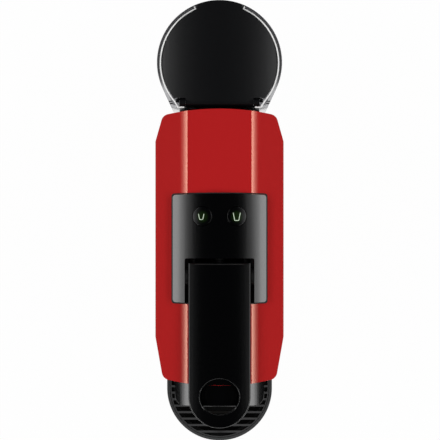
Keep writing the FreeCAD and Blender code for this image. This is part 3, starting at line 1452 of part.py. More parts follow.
def make_main_board():
    x = ("board_left", "board_right")
    y = ("board_front", "board_front + board_thick")
    solid = block("main_board_solid", x, y, ("board_low", "board_high"))
    holes = [rod(f"main_board_hole_{n}", "y", at, "screw_radius", *y) for n, at in enumerate(BOARD_SCREWS)]
    node(subtract("main_board", solid, *holes))
    screws = []
    for n, at in enumerate(BOARD_SCREWS):
        head = rod(f"screw_head_{n}", "y", at, "screw_head", "board_front - screw_radius", "board_front")
        reach = ("board_front - screw_radius", "board_front + screw_length")
        shank = rod(f"screw_shank_{n}", "y", at, "screw_radius", *reach)
        stand = ("board_front + board_thick", "rear_wall_front")
        spacer = rod(f"screw_spacer_{n}", "y", at, "screw_head", *stand)
        screws.append(join(f"board_screw_{n}", head, shank, spacer))
    node(group("board_screws", *screws))
    left = "board_left + part_margin"
    right = "board_right - screw_margin"
    low = "board_low + part_rise"
    relay = block(
        "relay",
        (left, f"{left} + relay_width"),
        ("board_front - relay_height", "board_front"),
        (low, f"{low} + relay_length"),
    )
    filter_case = block(
        "filter_case",
        (f"{right} - filter_width", right),
        ("board_front - filter_height", "board_front"),
        (low, f"{low} + filter_length"),
    )
    cans = []
    for n in range(2):
        at = (f"{left} + capacitor_radius + {n} * capacitor_pitch", "board_high - capacitor_drop")
        y = ("board_front - capacitor_height", "board_front")
        cans.append(rod(f"capacitor_{n}", "y", at, "capacitor_radius", *y))
    node(group("board_parts", relay, filter_case, *cans))


def make_cord_gland():
    rear = "tank_centre + seat_radius"
    at = ("0", "gland_z")
    neck = rod("gland_neck_solid", "y", at, "gland_neck", f"{rear} - seat_wall - 2 * nipple_radius", rear)
    flange = rod("gland_flange", "y", at, "gland_radius", rear, f"{rear} + seat_wall")
    tip = rod("gland_tip", "y", at, "gland_neck", rear, f"{rear} + 2 * nipple_radius")
    through = (f"{rear} - 4 * nipple_radius", f"{rear} + 2 * nipple_radius")
    bore = rod("gland_bore", "y", at, "nipple_radius", *through)
    node(subtract("cord_gland", join("gland_solid", neck, flange, tip), bore))


for make in (make_outer_shell, make_base, make_feet, make_rear_wall, make_front_nose, make_head_floor,
             make_control_panel, make_buttons, make_button_board, make_lever_cover, make_lever_arm,
             make_lever_pin, make_cam_plates, make_brew_frames, make_carriage, make_spikes,
             make_outlet, make_spout, make_inlet_sleeve, make_deck, make_chassis_wall, make_tank,
             make_lid, make_valve, make_drawer, make_grid, make_thermoblock, make_pump,
             make_flow_meter, make_hoses, make_main_board, make_cord_gland):
    make()


# Checks, then one file for each sub-part


def check_document():
    doc.recompute()
    for thing in doc.Objects:
        bad = [s for s in thing.State if s in ("Invalid", "Error")]
        if bad:
            raise RuntimeError(f"{thing.Name} failed: {bad}")
    for thing in sub_parts:
        if thing.Shape.isNull() or not thing.Shape.isValid():
            raise RuntimeError(f"{thing.Label} has no valid shape")


def write_parts():
    os.makedirs("parts", exist_ok=True)
    for thing in sub_parts:
        thing.Shape.exportStep(f"parts/{thing.Label}.step")
        box = thing.Shape.optimalBoundingBox()
        ends = [f"{a} {getattr(box, a + 'Min'):.1f} to {getattr(box, a + 'Max'):.1f}" for a in "XYZ"]
        volume = thing.Shape.Volume / 1000
        print(f"{thing.Label}: {len(thing.Shape.Solids)} solids, {volume:.2f} cm3, {', '.join(ends)}")


check_document()
write_parts()
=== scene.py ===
import json
import math

import bmesh
import bpy
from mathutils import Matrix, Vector

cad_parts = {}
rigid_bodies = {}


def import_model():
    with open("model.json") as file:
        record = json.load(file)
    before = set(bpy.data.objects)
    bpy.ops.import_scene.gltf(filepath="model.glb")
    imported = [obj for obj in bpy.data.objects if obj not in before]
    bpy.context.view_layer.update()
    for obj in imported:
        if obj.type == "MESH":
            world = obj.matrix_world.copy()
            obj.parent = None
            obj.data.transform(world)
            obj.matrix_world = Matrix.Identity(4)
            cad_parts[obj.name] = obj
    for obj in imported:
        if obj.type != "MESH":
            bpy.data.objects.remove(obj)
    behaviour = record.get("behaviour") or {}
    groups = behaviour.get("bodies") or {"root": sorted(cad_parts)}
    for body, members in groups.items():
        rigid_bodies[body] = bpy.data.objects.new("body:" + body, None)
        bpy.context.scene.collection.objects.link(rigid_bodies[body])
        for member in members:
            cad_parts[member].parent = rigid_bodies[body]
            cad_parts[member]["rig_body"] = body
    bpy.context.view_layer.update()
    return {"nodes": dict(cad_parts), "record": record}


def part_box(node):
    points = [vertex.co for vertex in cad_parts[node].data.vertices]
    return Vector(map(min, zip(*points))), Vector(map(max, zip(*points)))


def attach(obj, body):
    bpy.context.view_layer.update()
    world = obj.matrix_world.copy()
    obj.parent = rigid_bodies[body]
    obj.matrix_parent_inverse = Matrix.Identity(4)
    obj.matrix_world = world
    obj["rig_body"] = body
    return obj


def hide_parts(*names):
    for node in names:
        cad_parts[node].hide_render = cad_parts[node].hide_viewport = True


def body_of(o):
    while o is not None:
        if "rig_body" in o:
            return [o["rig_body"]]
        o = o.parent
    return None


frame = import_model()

MM = 0.001


# Studio: camera, floor, two long softboxes and a soft sky, in metres

SENSOR_WIDTH = 36.0
LENS_PIXELS = 2520  # length of the lens, in pixels of the picture
PICTURE_PIXELS = 440
VIEW_END = 100
CAMERA_PLACE = (0.36 * MM, 6.65 * MM, 2.0)


def set_camera():
    """Straight above the machine, with the front towards the bottom of the picture."""
    lens = bpy.data.cameras.new("camera_above")
    lens.sensor_width = SENSOR_WIDTH
    lens.lens = SENSOR_WIDTH * LENS_PIXELS / PICTURE_PIXELS
    lens.clip_end = VIEW_END
    camera = bpy.data.objects.new("camera_above", lens)
    camera.location = CAMERA_PLACE
    bpy.context.scene.collection.objects.link(camera)
    bpy.context.scene.camera = camera


SOFTBOX_HEIGHT = 1.6
SOFTBOX_LENGTH = 2.6
LIT_HEIGHT = 0.19  # height of the machine's top, from where the softboxes' angles are counted

# The glow of each softbox, from its dim inner edge outward: angles off the vertical and radiance
SOFTBOX_GLOW = (
    (17.0, 21.0, 0.04),
    (21.0, 24.0, 0.18),
    (24.0, 27.0, 0.55),
    (27.0, 30.0, 1.15),
    (30.0, 33.0, 2.2),
    (33.0, 36.0, 3.6),
    (36.0, 43.0, 6.6),
    (43.0, 45.0, 4.6),
    (45.0, 47.0, 2.4),
    (47.0, 50.0, 0.8),
)
SIDES = ((-1, "left"), (1, "right"))


def hang_softboxes():
    """Two long softboxes beside the machine, each a row of strips that fades towards the middle."""
    drop = SOFTBOX_HEIGHT - LIT_HEIGHT
    for side, place in SIDES:
        for number, (inner, outer, radiance) in enumerate(SOFTBOX_GLOW):
            near = drop * math.tan(math.radians(inner))
            far = drop * math.tan(math.radians(outer))
            name = f"softbox_{place}_{number}"
            light = bpy.data.lights.new(name, "AREA")
            light.shape = "RECTANGLE"
            light.size = far - near
            light.size_y = SOFTBOX_LENGTH
            light.energy = radiance * math.pi * light.size * light.size_y
            strip = bpy.data.objects.new(name, light)
            strip.location = (side * (near + far) / 2, 0.0, SOFTBOX_HEIGHT)
            strip.visible_camera = False
            bpy.context.scene.collection.objects.link(strip)


def add_math(nodes, operation):
    step = nodes.new("ShaderNodeMath")
    step.operation = operation
    return step


# How bright the sky is, from the horizon on both sides to overhead and to the ends
SKY_STOPS = ((0.0, 0.42), (0.20, 0.32), (0.40, 0.14), (0.56, 0.04), (1.0, 0.015))


def set_sky():
    """Pale at the horizon on both sides, dark overhead and at the ends, so that flat gloss stays deep."""
    world = bpy.data.worlds.new("studio_sky")
    bpy.context.scene.world = world
    world.use_nodes = True
    nodes, links = world.node_tree.nodes, world.node_tree.links
    nodes.clear()
    where = nodes.new("ShaderNodeTexCoord")
    split = nodes.new("ShaderNodeSeparateXYZ")
    ends = add_math(nodes, "ABSOLUTE")
    dark = add_math(nodes, "MAXIMUM")
    ramp = nodes.new("ShaderNodeValToRGB")
    stops = ramp.color_ramp.elements
    stops.remove(stops[1])
    for number, (height, level) in enumerate(SKY_STOPS):
        stop = stops.new(height) if number else stops[0]
        stop.position = height
        stop.color = (level, level, level, 1)
    sky = nodes.new("ShaderNodeBackground")
    white = nodes.new("ShaderNodeBackground")
    white.inputs["Color"].default_value = (1, 1, 1, 1)
    path = nodes.new("ShaderNodeLightPath")
    mix = nodes.new("ShaderNodeMixShader")
    out = nodes.new("ShaderNodeOutputWorld")
    links.new(where.outputs["Generated"], split.inputs[0])
    links.new(split.outputs["Y"], ends.inputs[0])
    links.new(split.outputs["Z"], dark.inputs[0])
    links.new(ends.outputs[0], dark.inputs[1])
    links.new(dark.outputs[0], ramp.inputs["Fac"])
    links.new(ramp.outputs["Color"], sky.inputs["Color"])
    links.new(path.outputs["Is Camera Ray"], mix.inputs["Fac"])
    links.new(sky.outputs[0], mix.inputs[1])
    links.new(white.outputs[0], mix.inputs[2])
    links.new(mix.outputs[0], out.inputs["Surface"])


FLOOR_RADIUS = 8.0
FLOOR_STEPS = 96
FLOOR_COLOUR = (0.86, 0.86, 0.86, 1)
FLOOR_WHITE = 0.98  # share of plain white in what is seen of the floor; the rest shows the shadow


def lay_floor():
    """A pale sheet that fades to white in the picture and keeps the machine's shadow."""
    shape = bmesh.new()
    bmesh.ops.create_circle(shape, cap_ends=True, segments=FLOOR_STEPS, radius=FLOOR_RADIUS)
    mesh = bpy.data.meshes.new("floor")
    shape.to_mesh(mesh)
    shape.free()
    floor = bpy.data.objects.new("floor", mesh)
    bpy.context.scene.collection.objects.link(floor)
    sheet = bpy.data.materials.new("pale_floor")
    sheet.use_nodes = True
    nodes, links = sheet.node_tree.nodes, sheet.node_tree.links
    nodes.clear()
    matt = nodes.new("ShaderNodeBsdfDiffuse")
    matt.inputs["Color"].default_value = FLOOR_COLOUR
    white = nodes.new("ShaderNodeEmission")
    path = nodes.new("ShaderNodeLightPath")
    seen = add_math(nodes, "MAXIMUM")
    through = add_math(nodes, "MAXIMUM")
    share = add_math(nodes, "MULTIPLY")
    share.inputs[1].default_value = FLOOR_WHITE
    mix = nodes.new("ShaderNodeMixShader")
    out = nodes.new("ShaderNodeOutputMaterial")
    links.new(path.outputs["Is Camera Ray"], seen.inputs[0])
    links.new(path.outputs["Is Glossy Ray"], seen.inputs[1])
    links.new(seen.outputs[0], through.inputs[0])
    links.new(path.outputs["Is Transmission Ray"], through.inputs[1])
    links.new(through.outputs[0], share.inputs[0])
    links.new(share.outputs[0], mix.inputs["Fac"])
    links.new(matt.outputs[0], mix.inputs[1])
    links.new(white.outputs[0], mix.inputs[2])
    links.new(mix.outputs[0], out.inputs["Surface"])
    floor.data.materials.append(sheet)


# Masks that the finishes share


def new_group(name, inputs, outputs):
    """An empty node group with its sockets, its input and its output."""
    group = bpy.data.node_groups.new(name, "ShaderNodeTree")
    for way, sockets in (("INPUT", inputs), ("OUTPUT", outputs)):
        for socket, kind in sockets.items():
            group.interface.new_socket(socket, in_out=way, socket_type=f"NodeSocket{kind}")
    return group, group.nodes.new("NodeGroupInput"), group.nodes.new("NodeGroupOutput")


def make_moulding_group():
    """Slow drift of tone and fine grain over a moulded or cast surface."""
    scales = {"Drift Scale": "Float", "Grain Scale": "Float"}
    group, come, go = new_group("moulded_surface", scales, {"Drift": "Float", "Grain": "Float"})
    nodes, links = group.nodes, group.links
    where = nodes.new("ShaderNodeTexCoord")
    for name, detail in (("Drift", 2.0), ("Grain", 4.0)):
        noise = nodes.new("ShaderNodeTexNoise")
        noise.inputs["Detail"].default_value = detail
        links.new(where.outputs["Object"], noise.inputs["Vector"])
        links.new(come.outputs[f"{name} Scale"], noise.inputs["Scale"])
        links.new(noise.outputs["Fac"], go.inputs[name])
    return group


def make_rise_group():
    """A mask that rises from 0 to 1 between two places along an axis of the piece."""
    places = {"Axis": "Vector", "Low": "Float", "High": "Float"}
    group, come, go = new_group("rise_along_axis", places, {"Mask": "Float"})
    nodes, links = group.nodes, group.links
    where = nodes.new("ShaderNodeTexCoord")
    reach = nodes.new("ShaderNodeVectorMath")
    reach.operation = "DOT_PRODUCT"
    rise = nodes.new("ShaderNodeMapRange")
    rise.interpolation_type = "SMOOTHSTEP"
    links.new(where.outputs["Object"], reach.inputs[0])
    links.new(come.outputs["Axis"], reach.inputs[1])
    links.new(reach.outputs["Value"], rise.inputs["Value"])
    links.new(come.outputs["Low"], rise.inputs["From Min"])
    links.new(come.outputs["High"], rise.inputs["From Max"])
    links.new(rise.outputs["Result"], go.inputs["Mask"])
    return group


def make_spot_group():
    """A mask that falls from 1 to 0 between two distances from a place in plan and its mirror place."""
    places = {"Centre": "Vector", "Inner": "Float", "Outer": "Float"}
    group, come, go = new_group("round_spot", places, {"Mask": "Float"})
    nodes, links = group.nodes, group.links
    where = nodes.new("ShaderNodeTexCoord")
    split = nodes.new("ShaderNodeSeparateXYZ")
    either = add_math(nodes, "ABSOLUTE")
    flat = nodes.new("ShaderNodeCombineXYZ")
    reach = nodes.new("ShaderNodeVectorMath")
    reach.operation = "DISTANCE"
    fade = nodes.new("ShaderNodeMapRange")
    fade.interpolation_type = "SMOOTHSTEP"
    fade.inputs["To Min"].default_value = 1.0
    fade.inputs["To Max"].default_value = 0.0
    links.new(where.outputs["Object"], split.inputs[0])
    links.new(split.outputs["X"], either.inputs[0])
    links.new(either.outputs[0], flat.inputs["X"])
    links.new(split.outputs["Y"], flat.inputs["Y"])
    links.new(flat.outputs[0], reach.inputs[0])
    links.new(come.outputs["Centre"], reach.inputs[1])
    links.new(reach.outputs["Value"], fade.inputs["Value"])
    links.new(come.outputs["Inner"], fade.inputs["From Min"])
    links.new(come.outputs["Outer"], fade.inputs["From Max"])
    links.new(fade.outputs["Result"], go.inputs["Mask"])
    return group


moulding = make_moulding_group()
rise_group = make_rise_group()
spot_group = make_spot_group()


def use_group(tree, group, values):
    """Sets a node group in a finish."""
    used = tree.nodes.new("ShaderNodeGroup")
    used.node_tree = group
    for socket, value in values.items():
        used.inputs[socket].default_value = value
    return used


def surface_of(tree, drift_scale, grain_scale):
    return use_group(tree, moulding, {"Drift Scale": drift_scale, "Grain Scale": grain_scale})


def along_axis(tree, axis, low, high):
    """A rising mask between two places along an axis, in millimetres."""
    rise = use_group(tree, rise_group, {"Axis": axis, "Low": low * MM, "High": high * MM})
    return rise.outputs["Mask"]


def round_spot(tree, x, y, inner, outer):
    """A fading mask round a place in plan, in millimetres."""
    place = {"Centre": (x * MM, y * MM, 0), "Inner": inner * MM, "Outer": outer * MM}
    return use_group(tree, spot_group, place).outputs["Mask"]


# Finishes


def new_finish(name):
    finish = bpy.data.materials.new(name)
    finish.use_nodes = True
    tree = finish.node_tree
    return finish, tree, tree.nodes["Principled BSDF"]


def tint(tree, mask, colour, shade, target):
    """Drifts a colour towards a shade by a mask."""
    mix = tree.nodes.new("ShaderNodeMix")
    mix.data_type = "RGBA"
    mix.inputs["A"].default_value = (*colour, 1)
    mix.inputs["B"].default_value = (*shade, 1)
    tree.links.new(mask, mix.inputs["Factor"])
    tree.links.new(mix.outputs["Result"], target)
    return mix


NOISE_LOW, NOISE_HIGH = 0.3, 0.7  # most of the noise lies between these


def spread(tree, mask, low, high, target):
    """Sets a socket between two values by a noise mask."""
    span = tree.nodes.new("ShaderNodeMapRange")
    span.inputs["From Min"].default_value = NOISE_LOW
    span.inputs["From Max"].default_value = NOISE_HIGH
    span.inputs["To Min"].default_value = low
    span.inputs["To Max"].default_value = high
    tree.links.new(mask, span.inputs["Value"])
    tree.links.new(span.outputs["Result"], target)


def roughen(tree, height, depth, strength, target):
    """Raises a surface by a height, in metres."""
    bump = tree.nodes.new("ShaderNodeBump")
    bump.inputs["Strength"].default_value = strength
    bump.inputs["Distance"].default_value = depth
    tree.links.new(height, bump.inputs["Height"])
    tree.links.new(bump.outputs["Normal"], target)


SOCKETS = {
    "metallic": "Metallic",
    "specular_tint": "Specular Tint",
    "specular_ior_level": "Specular IOR Level",
    "transmission_weight": "Transmission Weight",
}


def moulded(
    name, colour, shade, rough, drift_scale=14.0, grain_scale=1500.0, depth=0.00002, strength=0.2, **plain
):
    """A solid plastic, rubber or metal finish with drift, grain and a fine texture."""
    finish, tree, skin = new_finish(name)
    surface = surface_of(tree, drift_scale, grain_scale)
    tint(tree, surface.outputs["Drift"], colour, shade, skin.inputs["Base Color"])
    spread(tree, surface.outputs["Grain"], *rough, skin.inputs["Roughness"])
    roughen(tree, surface.outputs["Grain"], depth, strength, skin.inputs["Normal"])
    for socket, value in plain.items():
        skin.inputs[SOCKETS[socket]].default_value = value
    return finish


PLAIN_FINISHES = {
    "shell_red": dict(
        colour=(0.52, 0.0160, 0.0175), shade=(0.50, 0.0152, 0.0165), rough=(0.08, 0.12),
        drift_scale=9.0, grain_scale=900.0, strength=0.04,
        specular_tint=(1.0, 0.66, 0.50, 1), specular_ior_level=1.0,
    ),
    "gloss_black": dict(
        colour=(0.0004, 0.0005, 0.0007), shade=(0.0008, 0.0009, 0.0012), rough=(0.10, 0.15),
        drift_scale=20.0, grain_scale=1200.0, strength=0.05,
    ),
    "satin_black": dict(
        colour=(0.0035, 0.0036, 0.0038), shade=(0.0050, 0.0051, 0.0053), rough=(0.28, 0.36),
        drift_scale=16.0, grain_scale=2200.0, depth=0.00003,
    ),
    "lid_black": dict(
        colour=(0.0026, 0.0028, 0.0034), shade=(0.0034, 0.0036, 0.0042), rough=(0.22, 0.27),
        drift_scale=20.0, grain_scale=1800.0, strength=0.08,
    ),
    "inner_grey": dict(
        colour=(0.05, 0.05, 0.052), shade=(0.04, 0.04, 0.042), rough=(0.42, 0.55), strength=0.3,
    ),
    "white_plastic": dict(
        colour=(0.95, 0.95, 0.94), shade=(0.91, 0.91, 0.90), rough=(0.35, 0.45),
    ),
    "rubber_black": dict(
        colour=(0.012, 0.012, 0.012), shade=(0.018, 0.018, 0.018), rough=(0.7, 0.85), strength=0.5,
    ),
    "hose_clear": dict(
        colour=(0.62, 0.64, 0.62), shade=(0.55, 0.57, 0.55), rough=(0.25, 0.35),
        transmission_weight=0.5,
    ),
    "steel": dict(
        colour=(0.55, 0.55, 0.54), shade=(0.48, 0.48, 0.47), rough=(0.22, 0.34),
        drift_scale=40.0, grain_scale=3000.0, metallic=1.0,
    ),
    "cast_aluminium": dict(
        colour=(0.50, 0.50, 0.50), shade=(0.42, 0.42, 0.43), rough=(0.42, 0.58),
        drift_scale=60.0, grain_scale=1400.0, depth=0.00006, strength=0.5, metallic=1.0,
    ),
    "copper_coil": dict(
        colour=(0.42, 0.17, 0.07), shade=(0.34, 0.13, 0.05), rough=(0.3, 0.42),
        drift_scale=60.0, grain_scale=1800.0, depth=0.00005, strength=0.4, metallic=1.0,
    ),
    "board_green": dict(
        colour=(0.015, 0.09, 0.035), shade=(0.010, 0.07, 0.028), rough=(0.3, 0.4),
        drift_scale=60.0, grain_scale=900.0,
    ),
}

SHEEN_TO_SMOKE = (104.0, 113.0)  # where the pale flanks, a painted reflection, give way to the tank's smoky back, from front to back
CLEAR_IOR = 1.49


def make_clear_tank():
    """Smoky clear plastic with faint flow marks; its flanks are paler than its back, a painted
    reflection.
    """
    finish, tree, skin = new_finish("clear_tank")
    surface = surface_of(tree, 30.0, 900.0)
    # Painted reflection: the flanks are paler than the smoky back, as if they caught the light.
    back = along_axis(tree, (0, 1, 0), *SHEEN_TO_SMOKE)
    smoke_and_sheen = tint(tree, back, (0.46, 0.46, 0.47), (0.060, 0.060, 0.063), skin.inputs["Base Color"])
    tint(tree, surface.outputs["Drift"], (0.50, 0.50, 0.51), (0.42, 0.42, 0.43), smoke_and_sheen.inputs["A"])
    spread(tree, surface.outputs["Grain"], 0.03, 0.07, skin.inputs["Roughness"])
    roughen(tree, surface.outputs["Drift"], 0.0002, 0.1, skin.inputs["Normal"])
    skin.inputs["Transmission Weight"].default_value = 1.0
    skin.inputs["IOR"].default_value = CLEAR_IOR
    return finish


def make_icon_light():
    """The lit cup mark: a pale green glow that drifts a little in tone."""
    finish, tree, skin = new_finish("icon_light")
    surface = surface_of(tree, 400.0, 2500.0)
    drift = surface.outputs["Drift"]
    tint(tree, drift, (0.66, 0.78, 0.60), (0.58, 0.70, 0.52), skin.inputs["Emission Color"])
    tint(tree, drift, (0.30, 0.36, 0.28), (0.24, 0.30, 0.22), skin.inputs["Base Color"])
    spread(tree, surface.outputs["Grain"], 0.3, 0.45, skin.inputs["Roughness"])
    skin.inputs["Emission Strength"].default_value = 0.6
    return finish


GLOW_SPOT = (12.4, 9.0, 2.2, 5.2)  # place in plan, and where the glow starts to fade and ends


def make_lit_button():
    """Gloss black with a faint green glow round the lit mark."""
    finish, tree, skin = new_finish("lit_button")
    surface = surface_of(tree, 20.0, 1200.0)
    black, sheen = (0.0004, 0.0005, 0.0007), (0.0008, 0.0009, 0.0012)
    tint(tree, surface.outputs["Drift"], black, sheen, skin.inputs["Base Color"])
    spread(tree, surface.outputs["Grain"], 0.10, 0.15, skin.inputs["Roughness"])
    glow = round_spot(tree, *GLOW_SPOT)
    tint(tree, glow, (0, 0, 0), (0.0035, 0.0110, 0.0008), skin.inputs["Emission Color"])
    skin.inputs["Emission Strength"].default_value = 1.0
    return finish


RIM_RISE = (35.4, 36.6)  # heights between which the painted shade down in the tray turns to its paler rim
SHADOW_SPOT = (0.0, -147.5, 8.0, 12.5)  # place in plan of the painted shadow on the slats under the lever and nose, and where it starts to fade and ends


def make_tray_black():
    """Dull black, paler on the rim and the slats, with painted shade down in the tray and a painted
    shadow on the slats round the spout.
    """
    finish, tree, skin = new_finish("tray_black")
    surface = surface_of(tree, 16.0, 2200.0)
    deep, painted_shadow, pale = (0.003, 0.003, 0.003), (0.003, 0.0025, 0.002), (0.055, 0.055, 0.055)
    # Painted shade: the tray's inside is darker below its rim, as if in shadow under the grid.
    rim = tint(tree, along_axis(tree, (0, 0, 1), *RIM_RISE), deep, pale, skin.inputs["Base Color"])
    # Painted shadow: the slats round the spout are darker, as if shaded by the lever and nose.
    slats = tint(tree, round_spot(tree, *SHADOW_SPOT), pale, painted_shadow, rim.inputs["B"])
    tint(tree, surface.outputs["Drift"], (0.050, 0.050, 0.051), (0.060, 0.060, 0.061), slats.inputs["A"])
    skin.inputs["Specular IOR Level"].default_value = 0.15
    spread(tree, surface.outputs["Grain"], 0.34, 0.44, skin.inputs["Roughness"])
    roughen(tree, surface.outputs["Grain"], 0.00003, 0.2, skin.inputs["Normal"])
    return finish


FINISHES = {name: moulded(name, **look) for name, look in PLAIN_FINISHES.items()}
FINISHES["clear_tank"] = make_clear_tank()
FINISHES["icon_light"] = make_icon_light()
FINISHES["lit_button"] = make_lit_button()
FINISHES["tray_black"] = make_tray_black()


# Ways to make and shape a piece, in millimetres


def slot_of(node):
    for part in frame["record"]["subparts"]:
        if part["node"] == node:
            return part["material_slot"]
    raise KeyError(node)


def dress_frame():
    """Gives each carried-over piece its finish."""
    for node, piece in frame["nodes"].items():
        piece.data.materials.clear()
        piece.data.materials.append(FINISHES[slot_of(node)])


def add_piece(name, shape, finish, body):
    """Makes a smooth piece of a shape and lets it ride a body."""
    mesh = bpy.data.meshes.new(name)
    shape.to_mesh(mesh)
    shape.free()
    mesh.polygons.foreach_set("use_smooth", [True] * len(mesh.polygons))
    piece = bpy.data.objects.new(name, mesh)
    bpy.context.scene.collection.objects.link(piece)
    mesh.materials.append(finish)
    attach(piece, body)
    return piece


def replace_node(node, shape, finish=None):
    """Puts a new shape in the place of a carried-over piece."""
    slot = slot_of(node)
    body = body_of(frame["nodes"][node])[0]
    piece = add_piece(f"{node}_shaped", shape, FINISHES[finish or slot], body)
    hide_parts(node)
    return piece


def keep_flat(piece):
    """Lets large faces look flat beside small rounds."""
    weigh = piece.modifiers.new("flat_faces", "WEIGHTED_NORMAL")
    weigh.keep_sharp = True


EASE_ANGLE = 28.0  # an edge sharper than this, in degrees, is rounded


def ease_edges(piece, width, segments=3):
    """Rounds the piece's sharp edges and keeps its flat faces flat."""
    bevel = piece.modifiers.new("eased_edges", "BEVEL")
    bevel.width = width * MM
    bevel.segments = segments
    bevel.limit_method = "ANGLE"
    bevel.angle_limit = math.radians(EASE_ANGLE)
    bevel.harden_normals = True
    keep_flat(piece)


def give_wall(piece, thickness):
    """Makes an open sheet a thin wall, half of it to each side."""
    wall = piece.modifiers.new("thickness", "SOLIDIFY")
    wall.thickness = thickness * MM
    wall.offset = 0.0


CREASE_ANGLE = 13.0  # a bend sharper than this, in degrees, is a crease and not a round
FLAT_ANGLE = 0.5  # facets that bend less than this are one face
WELD = 0.002


def mark_creases(shape):
    for edge in shape.edges:
        if len(edge.link_faces) == 2 and edge.calc_face_angle(0.0) > math.radians(CREASE_ANGLE):
            edge.smooth = False


def merged_copy(node):
    """A welded copy of a carried-over piece, with its flat facets joined and its creases kept."""
    shape = bmesh.new()
    shape.from_mesh(frame["nodes"][node].data)
    bmesh.ops.remove_doubles(shape, verts=shape.verts, dist=WELD * MM)
    flat = math.radians(FLAT_ANGLE)
    bmesh.ops.dissolve_limit(shape, angle_limit=flat, verts=shape.verts, edges=shape.edges)
    mark_creases(shape)
    return shape


def slice_across(shape, low, high, cuts):
    """Cuts a shape in even slices between two places across it, in metres, so that it can be bent."""
    across = Vector((1, 0, 0))
    for number in range(1, cuts + 1):
        everything = shape.verts[:] + shape.edges[:] + shape.faces[:]
        place = across * (low + (high - low) * number / (cuts + 1))
        bmesh.ops.bisect_plane(shape, geom=everything, plane_co=place, plane_no=across)


def round_rims(shape, edges, width, steps):
    """Rounds chosen edges of a shape."""
    bmesh.ops.bevel(
        shape, geom=edges, offset=width * MM, offset_type="OFFSET", affect="EDGES",
        segments=steps, profile=0.5, material=-1, clamp_overlap=False,
    )


def verts_of(made):
    return [item for item in made["geom"] if isinstance(item, bmesh.types.BMVert)]


def raise_faces(shape, faces, height):
    """Lifts faces off the shape, by a height in metres, and gives back the lifted ones."""
    made = bmesh.ops.extrude_face_region(shape, geom=faces)
    bmesh.ops.delete(shape, geom=faces, context="FACES_ONLY")
    bmesh.ops.translate(shape, verts=verts_of(made), vec=(0, 0, height))
    return [item for item in made["geom"] if isinstance(item, bmesh.types.BMFace)]


def thicken(shape, height):
    """Makes a flat sheet a solid."""
    made = bmesh.ops.extrude_face_region(shape, geom=shape.faces[:])
    bmesh.ops.translate(shape, verts=verts_of(made), vec=(0, 0, height * MM))
    bmesh.ops.recalc_face_normals(shape, faces=shape.faces)


def lay_band(shape, path, width, low, height):
    """A flat band along a path in plan, mitred at its bends."""
    last = len(path) - 1
    bmesh.ops.create_grid(shape, x_segments=last, y_segments=1, size=1.0)
    for vert in shape.verts:
        number = round((vert.co.x + 1) / 2 * last)
        here = Vector(path[number])
        come = (here - Vector(path[number - 1])).normalized() if number > 0 else None
        leave = (Vector(path[number + 1]) - here).normalized() if number < last else None
        along = ((come or leave) + (leave or come)).normalized()
        across = Vector((-along.y, along.x)) * width / 2 / along.dot(leave or come)
        vert.co = Vector((*(here + across * vert.co.y), low)) * MM
    thicken(shape, height)


def crown_height(x, radius):
    """How far a crowned top has fallen at a distance from the middle plane."""
    return math.sqrt(radius ** 2 - x ** 2) - radius


# Casing

EASED_NODES = (
    ("water_tank", 0.4, None),
    ("tank_lid", 0.5, "lid_black"),
    ("drip_tray", 0.4, "tray_black"),
    ("capsule_bin", 0.6, None),
    ("base_plate", 0.6, None),
    ("rear_wall", 0.4, None),
    ("coffee_spout", 0.4, None),
    ("rubber_feet", 0.5, None),
    ("cord_gland", 0.3, None),
)


def ease_casing():
    """The pieces of the casing that keep their form, with eased edges."""
    for node, width, finish in EASED_NODES:
        ease_edges(replace_node(node, merged_copy(node), finish), width)


FLAT_HALF = 23.0
SHOULDER_ANGLE = math.radians(20.0)
SHOULDER_RADIUS = 60.0
SLOPE_ANGLE = math.radians(27.0)
SHELL_TOP = 194.0
SHELL_ROUND = 0.35
SHOULDER_END = 30.0
SHOULDER_CUTS = 11
ROOF_SLACK = 0.1  # how far a flat facet may lie under the round that it stands for
SIDE_HALF = 46.3
EAVE_RADIUS = 6.0
EAVE_SLACK = 0.02  # how far a corner of the eave may lie off its round
EAVE_FOOT = 0.01  # and under its lower end
FINE_EAVE = 1.4


def roof_height(x):
    """Height of the outer shell over a distance from the middle plane."""
    x = abs(x)
    if x < FLAT_HALF:
        return SHELL_TOP
    middle_x = FLAT_HALF - SHOULDER_RADIUS * math.sin(SHOULDER_ANGLE)
    middle_z = SHELL_TOP - SHOULDER_RADIUS * math.cos(SHOULDER_ANGLE)
    end_x = middle_x + SHOULDER_RADIUS * math.sin(SLOPE_ANGLE)
    if x < end_x:
        return middle_z + math.sqrt(SHOULDER_RADIUS ** 2 - (x - middle_x) ** 2)
    return middle_z + SHOULDER_RADIUS * math.cos(SLOPE_ANGLE) - (x - end_x) * math.tan(SLOPE_ANGLE)


def eave_start(radius):
    """Where an eave's round leaves the slope, and the height of its centre."""
    x = SIDE_HALF - radius * (1 - math.sin(SLOPE_ANGLE))
    return x, roof_height(x) - radius * math.cos(SLOPE_ANGLE)


